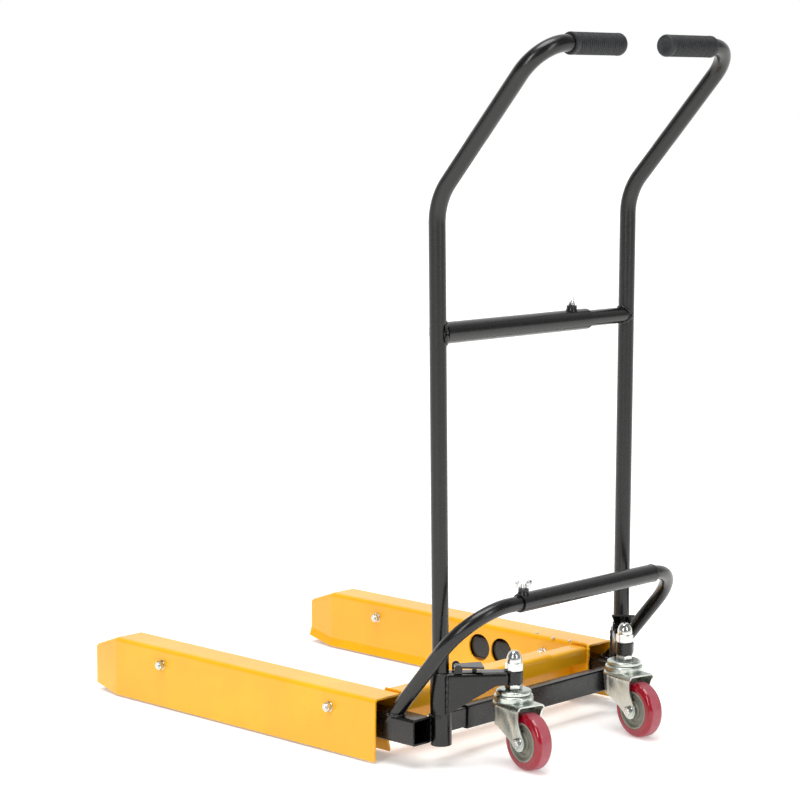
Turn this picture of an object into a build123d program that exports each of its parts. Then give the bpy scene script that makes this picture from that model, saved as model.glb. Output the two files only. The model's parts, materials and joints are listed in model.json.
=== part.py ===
from build123d import *
import math
import os

# Wheel dolly: two forks that slide under a wheel from both sides of its tread,
# a push frame on two swivel casters, and a foot lever that tips the frame.
# +Z is up, the forks point to -Y, +X is the operator's left.
# The origin is on the floor, under the centre of the bounding box.

# ---- driving dimensions, in millimetres and degrees ----
overall_length = 920.0
floor_gap = 3.5
running_gap = 0.4
bore_gap = 0.08
sheet = 3.0

# forks
arm_outer_x = 282.0
arm_width = 60.0
arm_top_z = 99.0
arm_rear_y = 188.0
nose_length = 62.0
nose_taper = 11.0
nose_drop = 22.0
nose_lift = 8.0
lip_height = 14.0
lip_flare = 5.0
window_radius = 23.0
window_z = 57.0
window_y = (-47.5, 1.5)
notch_front_y = 160.0
notch_top_z = 24.0

# bolts through the forks
bolt_z = 71.5
pivot_y = 93.0
front_bolt_y = -286.0
bolt_radius = 4.0
bolt_nut_flats = 13.0
bolt_nut_height = 6.5
bolt_washer_radius = 8.0
bolt_washer_height = 1.6
bolt_end = 3.0

# telescopic beam that joins the forks
beam_depth = 40.0
beam_rear_flange = 29.0
beam_front_flange = 60.0
beam_outer_end_x = -129.0
beam_inner_end_x = 60.0

# stop blocks between the side tubes and the forks' top plates
stop_width = 26.0
stop_length = 24.0
stop_offset_y = 42.0

# front rollers
roller_radius = 28.0
roller_width = 30.0
roller_chamfer = 2.0
roller_axle_radius = 6.0
roller_axle_end = 2.0
cheek_thickness = 3.0
cheek_inner_half_gap = 17.0
bracket_top_z = 88.0
bracket_top_half = 24.0
bracket_foot_z = 18.0
bracket_foot_half = 12.0

# push frame
tube_side = 40.0
tube_wall = 3.0
tube_inner_x = 227.5
tube_bottom_z = 36.0
tube_rear_y = 252.0
tube_front_y = -90.0
pivot_bush_radius = 10.0
pivot_bush_end_gap = 0.5
upright_x = 215.0
upright_y = 260.0
upright_base_z = 60.0
upright_splay = 0.68
upright_lean = 0.75
upright_radius = 12.5
thin_wall = 2.0
sleeve_radius = 16.0
sleeve_bottom_z = 32.0
sleeve_top_z = 142.0

# handle
elbow_z = 838.0
handle_x = 229.0
handle_y = 444.0
handle_z = 1062.0
elbow_radius = 90.0
handle_bend_radius = 55.0
grip_radius = 16.0
grip_inner_x = 53.0
grip_outer_x = 167.0
grip_end_wall = 5.0
grip_end_fillet = 4.0

# telescopic crossbar of the handle
crossbar_z = 644.0
crossbar_outer_radius = 16.0
crossbar_outer_end_x = -120.0
crossbar_inner_end_x = 60.0
handle_screw_x = -85.0

# lower bar between the sleeves
lower_bar_z = 56.0
lower_bar_height = 36.0
lower_bar_depth = 20.0
lower_bar_rear_y = 246.0
lower_bar_wall = 2.5
lower_bar_outer_end_x = 138.0
lower_bar_inner_end_x = -60.0

# foot lever
pedal_x = 257.0
pedal_foot_y = 205.0
pedal_foot_run = 12.0
pedal_bar_y = 351.0
pedal_bar_z = 249.0
pedal_radius = 11.0
pedal_bend_radius = 85.0
pedal_outer_radius = 14.0
pedal_outer_left_x = 148.0
pedal_socket_length = 20.0
pedal_inner_end_x = -40.0
pedal_screw_x = 138.0

# wing screws
screw_radius = 4.0
screw_boss_radius = 8.0
screw_boss_height = 7.0
screw_boss_seat = 2.5
wing_hub_radius = 5.0
wing_hub_height = 5.5
wing_thickness = 2.5
wing_outline = ((0.0, 0.5), (5.0, 1.0), (15.0, 8.0), (11.0, 11.0), (0.0, 4.5))

# casters
stem_x = 133.0
stem_y = 330.6
stem_radius = 8.0
collar_radius = 13.5
collar_bottom_z = 123.0
stem_nut_flats = 24.0
acorn_top_z = 173.0
acorn_hex_height = 14.0
acorn_dome_inset = 1.0
acorn_dome_fillet = 10.0
race_radius = 29.5
race_top_z = 115.0
race_bottom_z = 98.0
race_split_z = 107.0
race_inset = 3.0
race_chamfer = 2.0
king_pin_radius = 6.0
king_pin_head_radius = 9.0
king_pin_head_z = 89.0
caster_yaw = 12.0
caster_trail = 38.0
wheel_radius = 43.0
wheel_width = 28.0
hub_radius = 30.0
hub_rim = 4.0
hub_boss = 5.0
hub_recess = 6.0
wheel_bush_wall = 4.0
tyre_fillet = 8.0
yoke_sheet = 3.0
yoke_inner_half_gap = 17.0
yoke_front = 29.0
yoke_rear = 46.0
yoke_front_wall = 16.0
yoke_rear_wall = 22.0
yoke_rear_rake = 3.0
yoke_boss_front = (-12.0, -8.0)
yoke_boss_rear = (13.0, 5.0)
axle_radius = 5.0
axle_nut_flats = 16.0
axle_nut_height = 6.0
axle_boss_radius = 14.0
ball_radius = 2.6
ball_circle_radius = 21.0
ball_track_half_width = 3.0
ball_track_depth = 2.8
ball_count = 16

# gussets that carry the casters
gusset_width = 30.0
gusset_root_z = 76.0
gusset_tip_z = 123.0
gusset_tip_flat = 28.0

# latch tabs
tab_thickness = 3.0
tab_root_width = 23.0
tab_tip_width = 36.0
tab_length = 38.0
tab_straight = 8.0
tab_hinge_offset = 23.0
tab_hinge_z = 149.0
tab_knuckle_radius = 4.5
tab_pin_radius = 2.5
tab_lug_radius = 6.0
tab_lug_thickness = 3.0
tab_latch_pin_offset = 49.0
tab_latch_pin_radius = 3.5
tab_raised_angle = 35.0

# ---- derived values ----
nose_tip_y = -overall_length / 2
nose_start_y = nose_tip_y + nose_length
arm_inner_x = arm_outer_x - arm_width
arm_middle_x = arm_outer_x - arm_width / 2
tube_middle_x = tube_inner_x + tube_side / 2
tube_top_z = tube_bottom_z + tube_side
splay_slope = math.tan(math.radians(upright_splay))
lean_slope = math.tan(math.radians(upright_lean))
gusset_length = math.hypot(upright_x - stem_x, stem_y - upright_y)
gusset_direction = Vector(stem_x - upright_x, stem_y - upright_y, 0) / gusset_length
telescope_bore = upright_radius + running_gap
wheel_axle_z = wheel_radius
pedal_slope = (pedal_bar_z - tube_top_z) / (pedal_bar_y - pedal_foot_y)

os.makedirs("parts", exist_ok=True)


def save(builder, name):
    """Write one finished piece as parts/<name>.step."""
    builder.part.label = name
    export_step(builder.part, f"parts/{name}.step")


def save_mirrored(builder, name):
    """Write the same piece for the other side of the machine."""
    with BuildPart() as mirrored:
        mirror(builder.part, about=Plane.YZ)
    save(mirrored, name)


def save_pair(builder, name):
    """Write a piece of the left half and its mirror image."""
    save(builder, f"left_{name}")
    save_mirrored(builder, f"right_{name}")


def upright_point(height):
    """Centre of the left upright at a height: it splays out and leans over the forks."""
    rise = height - upright_base_z
    return Vector(upright_x + splay_slope * rise, upright_y - lean_slope * rise, height)


def cross_plane(y):
    """Plane across the machine at y, seen from the front, local axes +X and +Z."""
    return Plane.XZ.offset(-y)


def side_plane(x):
    """Plane along the machine at x, local axes +Y and +Z."""
    return Plane.YZ.offset(x)


upright_axis = upright_point(1.0) - upright_point(0.0)
sleeve_plane = Plane(origin=upright_point(sleeve_bottom_z), z_dir=upright_axis)


# ---- forks ----
def channel_outline(inset, taper, top_z, bottom_z):
    """Section of a fork: straight outer wall, and an inner wall with a flared lip."""
    outer = arm_outer_x - taper - inset
    inner = arm_inner_x + taper + inset
    lip_top = bottom_z + lip_height
    return [
        (outer, bottom_z),
        (outer, top_z - inset),
        (inner, top_z - inset),
        (inner, lip_top),
        (inner - lip_flare, bottom_z),
    ]


def add_fork_solid(inset, rear_y, tip_y, drop_bottom, mode):
    """Straight run and tapered nose, as one closed shape inset from the outside."""
    bottom = floor_gap - drop_bottom
    with BuildSketch(cross_plane(nose_start_y)) as straight:
        Polygon(*channel_outline(inset, 0, arm_top_z, bottom), align=None)
    extrude(straight.sketch, amount=nose_start_y - rear_y, mode=mode)
    with BuildSketch(cross_plane(tip_y)) as tip:
        Polygon(
            *channel_outline(inset, nose_taper, arm_top_z - nose_drop, bottom + nose_lift),
            align=None,
        )
    loft(sections=[straight.sketch.face(), tip.sketch.face()], ruled=True, mode=mode)


with BuildPart() as arm:
    add_fork_solid(0, arm_rear_y, nose_tip_y, 0, Mode.ADD)
    add_fork_solid(sheet, arm_rear_y + 1, nose_tip_y + sheet, 10, Mode.SUBTRACT)
    with BuildSketch(side_plane(arm_inner_x)):
        with Locations(*[(y, window_z) for y in window_y]):
            Circle(window_radius)
    extrude(amount=sheet * 2, both=True, mode=Mode.SUBTRACT)
    with BuildSketch(side_plane(arm_middle_x)):
        with Locations((pivot_y, bolt_z), (front_bolt_y, bolt_z)):
            Circle(bolt_radius)
    extrude(amount=arm_width, both=True, mode=Mode.SUBTRACT)
    with Locations((arm_inner_x, notch_front_y, 0)):
        Box(
            arm_width / 2,
            arm_width,
            notch_top_z,
            align=(Align.CENTER, Align.MIN, Align.MIN),
            mode=Mode.SUBTRACT,
        )
save_pair(arm, "arm")

with BuildPart() as beam_outer:
    beam_front_y = arm_rear_y - beam_depth
    with BuildSketch(side_plane(beam_outer_end_x)):
        with BuildLine():
            Polyline(
                (arm_rear_y, arm_top_z - beam_rear_flange),
                (arm_rear_y, arm_top_z),
                (beam_front_y, arm_top_z),
                (beam_front_y, arm_top_z - beam_front_flange),
                (beam_front_y + sheet, arm_top_z - beam_front_flange),
                (beam_front_y + sheet, arm_top_z - sheet),
                (arm_rear_y - sheet, arm_top_z - sheet),
                (arm_rear_y - sheet, arm_top_z - beam_rear_flange),
                close=True,
            )
        make_face()
    extrude(amount=arm_inner_x - beam_outer_end_x)
save(beam_outer, "beam_outer")

with BuildPart() as beam_inner:
    nest = sheet + running_gap
    nest_top_z = arm_top_z - nest
    with BuildSketch(side_plane(-arm_inner_x)):
        with BuildLine():
            Polyline(
                (arm_rear_y - nest, arm_top_z - beam_rear_flange),
                (arm_rear_y - nest, nest_top_z),
                (beam_front_y + nest, nest_top_z),
                (beam_front_y + nest, arm_top_z - beam_front_flange),
                (beam_front_y + nest + sheet, arm_top_z - beam_front_flange),
                (beam_front_y + nest + sheet, nest_top_z - sheet),
                (arm_rear_y - nest - sheet, nest_top_z - sheet),
                (arm_rear_y - nest - sheet, arm_top_z - beam_rear_flange),
                close=True,
            )
        make_face()
    extrude(amount=arm_inner_x + beam_inner_end_x)
save(beam_inner, "beam_inner")


def add_through_bolt(y):
    """Bolt across a fork with a nut and washer on each side and a short thread end."""
    nut_face = arm_width / 2 + bolt_washer_height
    with BuildSketch(side_plane(arm_middle_x)) as shank:
        with Locations((y, bolt_z)):
            Circle(bolt_radius)
    extrude(shank.sketch, amount=nut_face + bolt_nut_height + bolt_end, both=True)
    for side in (-1, 1):
        washer_x = arm_middle_x + side * arm_width / 2
        with BuildSketch(side_plane(washer_x)) as washer:
            with Locations((y, bolt_z)):
                Circle(bolt_washer_radius)
        extrude(washer.sketch, amount=side * bolt_washer_height)
        with BuildSketch(side_plane(arm_middle_x + side * nut_face)) as nut:
            with Locations((y, bolt_z)):
                RegularPolygon(bolt_nut_flats / 2, 6, major_radius=False)
        extrude(nut.sketch, amount=side * bolt_nut_height)


with BuildPart() as pivot_bolt:
    add_through_bolt(pivot_y)
save_pair(pivot_bolt, "pivot_bolt")

with BuildPart() as front_bolt:
    add_through_bolt(front_bolt_y)
save_pair(front_bolt, "front_bolt")

with BuildPart() as stop_block:
    stop_bottom_z = tube_top_z + running_gap
    with Locations((tube_middle_x, pivot_y + stop_offset_y, stop_bottom_z)):
        Box(
            stop_width,
            stop_length,
            arm_top_z - sheet - stop_bottom_z,
            align=(Align.CENTER, Align.CENTER, Align.MIN),
        )
save_pair(stop_block, "stop_block")

# ---- front rollers and their brackets ----
with BuildPart() as roller_bracket:
    cheek_outer = cheek_inner_half_gap + cheek_thickness
    with BuildSketch(side_plane(arm_middle_x)):
        with Locations((front_bolt_y, 0)):
            Polygon(
                (-bracket_top_half, bracket_top_z),
                (bracket_top_half, bracket_top_z),
                (bracket_foot_half, bracket_foot_z),
                (-bracket_foot_half, bracket_foot_z),
                align=None,
            )
    extrude(amount=cheek_outer, both=True)
    with Locations((arm_middle_x, front_bolt_y, bracket_top_z - cheek_thickness)):
        Box(
            2 * cheek_inner_half_gap,
            4 * bracket_top_half,
            bracket_top_z,
            align=(Align.CENTER, Align.CENTER, Align.MAX),
            mode=Mode.SUBTRACT,
        )
    with BuildSketch(side_plane(arm_middle_x)):
        with Locations((front_bolt_y, bolt_z)):
            Circle(bolt_radius)
        with Locations((front_bolt_y, roller_radius)):
            Circle(roller_axle_radius)
    extrude(amount=arm_width, both=True, mode=Mode.SUBTRACT)
    for side in (-1, 1):
        with BuildSketch(side_plane(arm_middle_x + side * cheek_outer)):
            with Locations((front_bolt_y, bolt_z)):
                Circle(bolt_washer_radius)
                Circle(bolt_radius, mode=Mode.SUBTRACT)
        extrude(amount=side * (arm_width / 2 - sheet - cheek_outer))
save_pair(roller_bracket, "roller_bracket")

with BuildPart() as roller_axle:
    with BuildSketch(side_plane(arm_middle_x)):
        with Locations((front_bolt_y, roller_radius)):
            Circle(roller_axle_radius)
    extrude(amount=cheek_outer + roller_axle_end, both=True)
save_pair(roller_axle, "roller_axle")

with BuildPart() as roller:
    with BuildSketch(side_plane(arm_middle_x)):
        with Locations((front_bolt_y, roller_radius)):
            Circle(roller_radius)
            Circle(roller_axle_radius + bore_gap, mode=Mode.SUBTRACT)
    extrude(amount=roller_width / 2, both=True)
    chamfer(roller.edges().filter_by(GeomType.CIRCLE).group_by(SortBy.RADIUS)[-1], roller_chamfer)
save_pair(roller, "roller")

# ---- push frame: side tubes, sleeves, gussets and lower bar ----
with BuildPart() as side_tube:
    with BuildSketch(cross_plane(tube_rear_y)):
        with Locations((tube_middle_x, tube_bottom_z + tube_side / 2)):
            Rectangle(tube_side, tube_side)
            Rectangle(tube_side - 2 * tube_wall, tube_side - 2 * tube_wall, mode=Mode.SUBTRACT)
    extrude(amount=tube_rear_y - tube_front_y)
    with BuildSketch(side_plane(tube_middle_x)):
        with Locations((pivot_y, bolt_z)):
            Circle(pivot_bush_radius)
    extrude(amount=tube_side, both=True, mode=Mode.SUBTRACT)
    with Locations(sleeve_plane):
        Cylinder(
            sleeve_radius,
            sleeve_top_z - sleeve_bottom_z,
            align=(Align.CENTER, Align.CENTER, Align.MIN),
            mode=Mode.SUBTRACT,
        )
save_pair(side_tube, "side_tube")

with BuildPart() as pivot_bush:
    with BuildSketch(side_plane(arm_inner_x + sheet + pivot_bush_end_gap)):
        with Locations((pivot_y, bolt_z)):
            Circle(pivot_bush_radius)
            Circle(bolt_radius + bore_gap, mode=Mode.SUBTRACT)
    extrude(amount=arm_width - 2 * (sheet + pivot_bush_end_gap))
save_pair(pivot_bush, "pivot_bush")

with BuildPart() as sleeve:
    with BuildSketch(sleeve_plane):
        Circle(sleeve_radius)
        Circle(upright_radius, mode=Mode.SUBTRACT)
    extrude(amount=sleeve_top_z - sleeve_bottom_z)
save_pair(sleeve, "sleeve")

gusset_plane = Plane(
    origin=(upright_x, upright_y, 0),
    x_dir=gusset_direction,
    z_dir=gusset_direction.cross(Vector(0, 0, 1)),
)
with BuildPart() as gusset:
    with BuildSketch(gusset_plane):
        Polygon(
            (0, gusset_root_z),
            (0, sleeve_top_z),
            (gusset_length, sleeve_top_z),
            (gusset_length, gusset_tip_z),
            (gusset_length - gusset_tip_flat, gusset_tip_z),
            align=None,
        )
    extrude(amount=gusset_width / 2, both=True)
    with BuildSketch(gusset_plane):
        Polygon(
            (0, 0),
            (0, sleeve_top_z - sheet),
            (gusset_length, sleeve_top_z - sheet),
            (gusset_length, 0),
            align=None,
        )
    extrude(amount=gusset_width / 2 - sheet, both=True, mode=Mode.SUBTRACT)
    with Locations(sleeve_plane):
        Cylinder(
            sleeve_radius,
            sleeve_top_z,
            align=(Align.CENTER, Align.CENTER, Align.MIN),
            mode=Mode.SUBTRACT,
        )
    with Locations((stem_x, stem_y, 0)):
        Cylinder(
            collar_radius,
            sleeve_top_z + 1,
            align=(Align.CENTER, Align.CENTER, Align.MIN),
            mode=Mode.SUBTRACT,
        )
save_pair(gusset, "gusset")

with BuildPart() as stem_collar:
    with BuildSketch(Plane.XY.offset(collar_bottom_z)):
        with Locations((stem_x, stem_y)):
            Circle(collar_radius)
            Circle(stem_radius, mode=Mode.SUBTRACT)
    extrude(amount=sleeve_top_z - collar_bottom_z)
save_pair(stem_collar, "stem_collar")

lower_bar_y = lower_bar_rear_y - lower_bar_depth / 2
with BuildPart() as lower_bar_outer:
    with BuildSketch(side_plane(-upright_x)):
        with Locations((lower_bar_y, lower_bar_z)):
            Rectangle(lower_bar_depth, lower_bar_height)
            Rectangle(
                lower_bar_depth - 2 * lower_bar_wall,
                lower_bar_height - 2 * lower_bar_wall,
                mode=Mode.SUBTRACT,
            )
    extrude(amount=upright_x + lower_bar_outer_end_x)
    mirrored_sleeve = Plane(
        origin=(-sleeve_plane.origin.X, sleeve_plane.origin.Y, sleeve_bottom_z),
        z_dir=(-upright_axis.X, upright_axis.Y, upright_axis.Z),
    )
    with Locations(mirrored_sleeve):
        Cylinder(
            sleeve_radius,
            sleeve_top_z,
            align=(Align.CENTER, Align.CENTER, Align.MIN),
            mode=Mode.SUBTRACT,
        )
save(lower_bar_outer, "lower_bar_outer")

with BuildPart() as lower_bar_inner:
    bar_inset = 2 * (lower_bar_wall + running_gap)
    with BuildSketch(side_plane(upright_x)):
        with Locations((lower_bar_y, lower_bar_z)):
            Rectangle(lower_bar_depth - bar_inset, lower_bar_height - bar_inset)
            Rectangle(
                lower_bar_depth - bar_inset - 2 * thin_wall,
                lower_bar_height - bar_inset - 2 * thin_wall,
                mode=Mode.SUBTRACT,
            )
    extrude(amount=lower_bar_inner_end_x - upright_x)
    with Locations(sleeve_plane):
        Cylinder(
            sleeve_radius,
            sleeve_top_z,
            align=(Align.CENTER, Align.CENTER, Align.MIN),
            mode=Mode.SUBTRACT,
        )
save(lower_bar_inner, "lower_bar_inner")

# ---- uprights, handle and grips ----
with BuildPart() as upright:
    with BuildLine() as upright_path:
        FilletPolyline(
            upright_point(upright_base_z),
            upright_point(elbow_z),
            (handle_x, handle_y, handle_z),
            (grip_inner_x + grip_end_wall, handle_y, handle_z),
            radius=[elbow_radius, handle_bend_radius],
        )
    with BuildSketch(Plane(origin=upright_path.line @ 0, z_dir=upright_path.line % 0)):
        Circle(upright_radius)
        Circle(upright_radius - thin_wall, mode=Mode.SUBTRACT)
    sweep()
save_pair(upright, "upright")

with BuildPart() as grip:
    with BuildSketch(side_plane(grip_inner_x)):
        with Locations((handle_y, handle_z)):
            Circle(grip_radius)
    extrude(amount=grip_outer_x - grip_inner_x)
    fillet(grip.edges().group_by(Axis.X)[0], grip_end_fillet)
    with BuildSketch(side_plane(grip_inner_x + grip_end_wall)):
        with Locations((handle_y, handle_z)):
            Circle(upright_radius)
    extrude(amount=grip_outer_x - grip_inner_x, mode=Mode.SUBTRACT)
save_pair(grip, "grip")

crossbar_centre = upright_point(crossbar_z)


def add_upright_cope(side):
    """Cut the round seat where a bar meets an upright."""
    seat = Plane(
        origin=(side * crossbar_centre.X, crossbar_centre.Y, crossbar_z),
        z_dir=(side * upright_axis.X, upright_axis.Y, upright_axis.Z),
    )
    with Locations(seat):
        Cylinder(upright_radius, 6 * upright_radius, mode=Mode.SUBTRACT)


def add_screw_boss(x, y, tube_z, tube_radius):
    """Round weld nut on a tube, bored through the tube's wall for the clamping screw."""
    with BuildSketch(Plane.XY.offset(tube_z + tube_radius - screw_boss_seat)) as boss:
        with Locations((x, y)):
            Circle(screw_boss_radius)
    extrude(boss.sketch, amount=screw_boss_height + screw_boss_seat)
    with Locations((x, y, tube_z)):
        Cylinder(
            screw_radius + bore_gap,
            2 * tube_radius,
            align=(Align.CENTER, Align.CENTER, Align.MIN),
            mode=Mode.SUBTRACT,
        )


with BuildPart() as crossbar_outer:
    with BuildSketch(side_plane(crossbar_centre.X)):
        with Locations((crossbar_centre.Y, crossbar_z)):
            Circle(crossbar_outer_radius)
            Circle(telescope_bore, mode=Mode.SUBTRACT)
    extrude(amount=crossbar_outer_end_x - crossbar_centre.X)
    add_upright_cope(1)
    add_screw_boss(handle_screw_x, crossbar_centre.Y, crossbar_z, crossbar_outer_radius)
save(crossbar_outer, "crossbar_outer")

with BuildPart() as crossbar_inner:
    with BuildSketch(side_plane(-crossbar_centre.X)):
        with Locations((crossbar_centre.Y, crossbar_z)):
            Circle(upright_radius)
            Circle(upright_radius - thin_wall, mode=Mode.SUBTRACT)
    extrude(amount=crossbar_centre.X + crossbar_inner_end_x)
    add_upright_cope(-1)
save(crossbar_inner, "crossbar_inner")


# ---- foot lever ----
def add_pedal_tube(end_x):
    """Bent tube from the top of the left side tube into the foot bar."""
    with BuildLine() as path:
        FilletPolyline(
            (pedal_x, pedal_foot_y - pedal_foot_run, tube_top_z - pedal_foot_run * pedal_slope),
            (pedal_x, pedal_bar_y, pedal_bar_z),
            (end_x, pedal_bar_y, pedal_bar_z),
            radius=pedal_bend_radius,
        )
    with BuildSketch(Plane(origin=path.line @ 0, z_dir=path.line % 0)) as section:
        Circle(pedal_radius)
        Circle(pedal_radius - thin_wall, mode=Mode.SUBTRACT)
    sweep(section.sketch, path=path.line)
    with Locations((pedal_x, pedal_foot_y, tube_top_z)):
        Box(
            4 * tube_side,
            4 * tube_side,
            2 * tube_side,
            align=(Align.CENTER, Align.CENTER, Align.MAX),
            mode=Mode.SUBTRACT,
        )


with BuildPart() as pedal_tube_left:
    add_pedal_tube(pedal_inner_end_x)
save(pedal_tube_left, "pedal_tube_left")

pedal_outer_right_x = -(pedal_x - pedal_bend_radius)
with BuildPart() as pedal_tube_right_half:
    add_pedal_tube(-pedal_outer_right_x - pedal_socket_length)
save_mirrored(pedal_tube_right_half, "pedal_tube_right")

with BuildPart() as pedal_sleeve:
    with BuildSketch(side_plane(pedal_outer_right_x)):
        with Locations((pedal_bar_y, pedal_bar_z)):
            Circle(pedal_outer_radius)
            Circle(pedal_radius, mode=Mode.SUBTRACT)
    extrude(amount=pedal_outer_left_x - pedal_outer_right_x)
    with BuildSketch(side_plane(pedal_outer_right_x + pedal_socket_length)):
        with Locations((pedal_bar_y, pedal_bar_z)):
            Circle(pedal_radius + running_gap)
    extrude(amount=pedal_outer_left_x - pedal_outer_right_x, mode=Mode.SUBTRACT)
    add_screw_boss(pedal_screw_x, pedal_bar_y, pedal_bar_z, pedal_outer_radius)
save(pedal_sleeve, "pedal_sleeve")


# ---- clamping wing screws ----
def add_wing_screw(x, y, tube_z, inner_radius, outer_radius):
    """Threaded shank, a round hub and two wings, clear of the tube that it clamps."""
    tip_z = tube_z + inner_radius + running_gap
    hub_z = tube_z + outer_radius + screw_boss_height + running_gap
    with BuildSketch(Plane.XY.offset(tip_z)) as shank:
        with Locations((x, y)):
            Circle(screw_radius)
    extrude(shank.sketch, amount=hub_z - tip_z)
    with BuildSketch(Plane.XY.offset(hub_z)) as hub:
        with Locations((x, y)):
            Circle(wing_hub_radius)
    extrude(hub.sketch, amount=wing_hub_height)
    with BuildSketch(cross_plane(y)) as wings:
        for side in (-1, 1):
            Polygon(*[(x + side * out, hub_z + up) for out, up in wing_outline], align=None)
    extrude(wings.sketch, amount=wing_thickness / 2, both=True)


with BuildPart() as handle_wing_screw:
    add_wing_screw(
        handle_screw_x, crossbar_centre.Y, crossbar_z, upright_radius, crossbar_outer_radius
    )
save(handle_wing_screw, "handle_wing_screw")

with BuildPart() as pedal_wing_screw:
    add_wing_screw(pedal_screw_x, pedal_bar_y, pedal_bar_z, pedal_radius, pedal_outer_radius)
save(pedal_wing_screw, "pedal_wing_screw")

# ---- caster stems, fixed to the frame ----
def add_ball_track(bottom_z):
    """Ring-shaped channel for the swivel balls."""
    with BuildSketch(Plane.XY.offset(bottom_z)) as track:
        with Locations((stem_x, stem_y)):
            Circle(ball_circle_radius + ball_track_half_width)
            Circle(ball_circle_radius - ball_track_half_width, mode=Mode.SUBTRACT)
    extrude(track.sketch, amount=ball_track_depth, mode=Mode.SUBTRACT)


def add_stem_disc(radius, bottom_z, top_z):
    """Round solid on the caster's swivel axis."""
    with BuildSketch(Plane.XY.offset(bottom_z)) as disc:
        with Locations((stem_x, stem_y)):
            Circle(radius)
    extrude(disc.sketch, amount=top_z - bottom_z)


acorn_hex_top_z = sleeve_top_z + acorn_hex_height
upper_race_z = race_split_z + running_gap
with BuildPart() as caster_stem:
    add_stem_disc(race_radius - race_inset, upper_race_z, race_top_z)
    chamfer(caster_stem.edges().group_by(Axis.Z)[-1], race_chamfer)
    add_ball_track(upper_race_z)
    add_stem_disc(stem_radius, race_top_z, acorn_hex_top_z)
    add_stem_disc(king_pin_radius, king_pin_head_z, upper_race_z)
    add_stem_disc(king_pin_head_radius, king_pin_head_z, race_bottom_z - yoke_sheet - running_gap)
save_pair(caster_stem, "caster_stem")

with BuildPart() as stem_nuts:
    for bottom_z, top_z in ((race_top_z, collar_bottom_z), (sleeve_top_z, acorn_hex_top_z)):
        with BuildSketch(Plane.XY.offset(bottom_z)):
            with Locations((stem_x, stem_y)):
                RegularPolygon(stem_nut_flats / 2, 6, major_radius=False)
                Circle(stem_radius, mode=Mode.SUBTRACT)
        extrude(amount=top_z - bottom_z)
    add_stem_disc(stem_nut_flats / 2 - acorn_dome_inset, acorn_hex_top_z, acorn_top_z)
    fillet(stem_nuts.edges().group_by(Axis.Z)[-1], acorn_dome_fillet)
save_pair(stem_nuts, "stem_nuts")

# ---- swivelling part of the casters, trailing to the rear ----
trail_direction = Vector(math.sin(math.radians(caster_yaw)), math.cos(math.radians(caster_yaw)), 0)
trail_plane = Plane(
    origin=(stem_x, stem_y, 0),
    x_dir=trail_direction,
    z_dir=trail_direction.cross(Vector(0, 0, 1)),
)
wheel_sketch_point = (caster_trail, wheel_axle_z)


def save_caster(builder, name):
    """Write a caster piece for both stems; both casters trail the same way."""
    save(builder, f"left_{name}")
    with BuildPart() as shifted:
        with Locations((-2 * stem_x, 0, 0)):
            add(builder.part)
    save(shifted, f"right_{name}")


with BuildPart() as yoke:
    yoke_outer_half = yoke_inner_half_gap + yoke_sheet
    with BuildSketch(trail_plane):
        Polygon(
            (-yoke_front, race_bottom_z),
            (-yoke_front, race_bottom_z - yoke_front_wall),
            (caster_trail + yoke_boss_front[0], wheel_axle_z + yoke_boss_front[1]),
            (caster_trail + yoke_boss_rear[0], wheel_axle_z + yoke_boss_rear[1]),
            (yoke_rear - yoke_rear_rake, race_bottom_z - yoke_rear_wall),
            (yoke_rear, race_bottom_z),
            align=None,
        )
        with Locations(wheel_sketch_point):
            Circle(axle_boss_radius)
    extrude(amount=yoke_outer_half, both=True)
    with BuildSketch(trail_plane):
        Polygon(
            (-2 * yoke_front, race_bottom_z - yoke_sheet),
            (2 * yoke_rear, race_bottom_z - yoke_sheet),
            (2 * yoke_rear, 0),
            (-2 * yoke_front, 0),
            align=None,
        )
    extrude(amount=yoke_inner_half_gap, both=True, mode=Mode.SUBTRACT)
    add_stem_disc(race_radius, race_bottom_z, race_split_z)
    chamfer(yoke.edges().group_by(Axis.Z)[-1], race_chamfer)
    add_ball_track(race_split_z - ball_track_depth)
    with Locations((stem_x, stem_y, 0)):
        Cylinder(
            king_pin_radius + bore_gap,
            race_split_z,
            align=(Align.CENTER, Align.CENTER, Align.MIN),
            mode=Mode.SUBTRACT,
        )
    with BuildSketch(trail_plane):
        with Locations(wheel_sketch_point):
            Circle(axle_radius)
    extrude(amount=2 * yoke_outer_half, both=True, mode=Mode.SUBTRACT)
save_caster(yoke, "caster_yoke")

with BuildPart() as swivel_balls:
    with Locations((stem_x, stem_y, race_split_z + running_gap / 2)):
        with PolarLocations(ball_circle_radius, ball_count):
            Sphere(ball_radius)
save_caster(swivel_balls, "swivel_balls")

with BuildPart() as caster_axle:
    with BuildSketch(trail_plane):
        with Locations(wheel_sketch_point):
            Circle(axle_radius)
    extrude(amount=yoke_outer_half, both=True)
    for side in (-1, 1):
        with BuildSketch(trail_plane.offset(side * yoke_outer_half)):
            with Locations(wheel_sketch_point):
                RegularPolygon(axle_nut_flats / 2, 6, major_radius=False)
        extrude(amount=side * axle_nut_height)
save_caster(caster_axle, "caster_axle")

with BuildPart() as wheel_hub:
    bush_radius = axle_radius + wheel_bush_wall
    with BuildSketch(trail_plane):
        with Locations(wheel_sketch_point):
            Circle(hub_radius)
            Circle(bush_radius, mode=Mode.SUBTRACT)
    extrude(amount=wheel_width / 2, both=True)
    for side in (-1, 1):
        with BuildSketch(trail_plane.offset(side * wheel_width / 2)):
            with Locations(wheel_sketch_point):
                Circle(hub_radius - hub_rim)
                Circle(bush_radius + hub_boss, mode=Mode.SUBTRACT)
        extrude(amount=-side * hub_recess, mode=Mode.SUBTRACT)
save_caster(wheel_hub, "wheel_hub")

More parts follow.
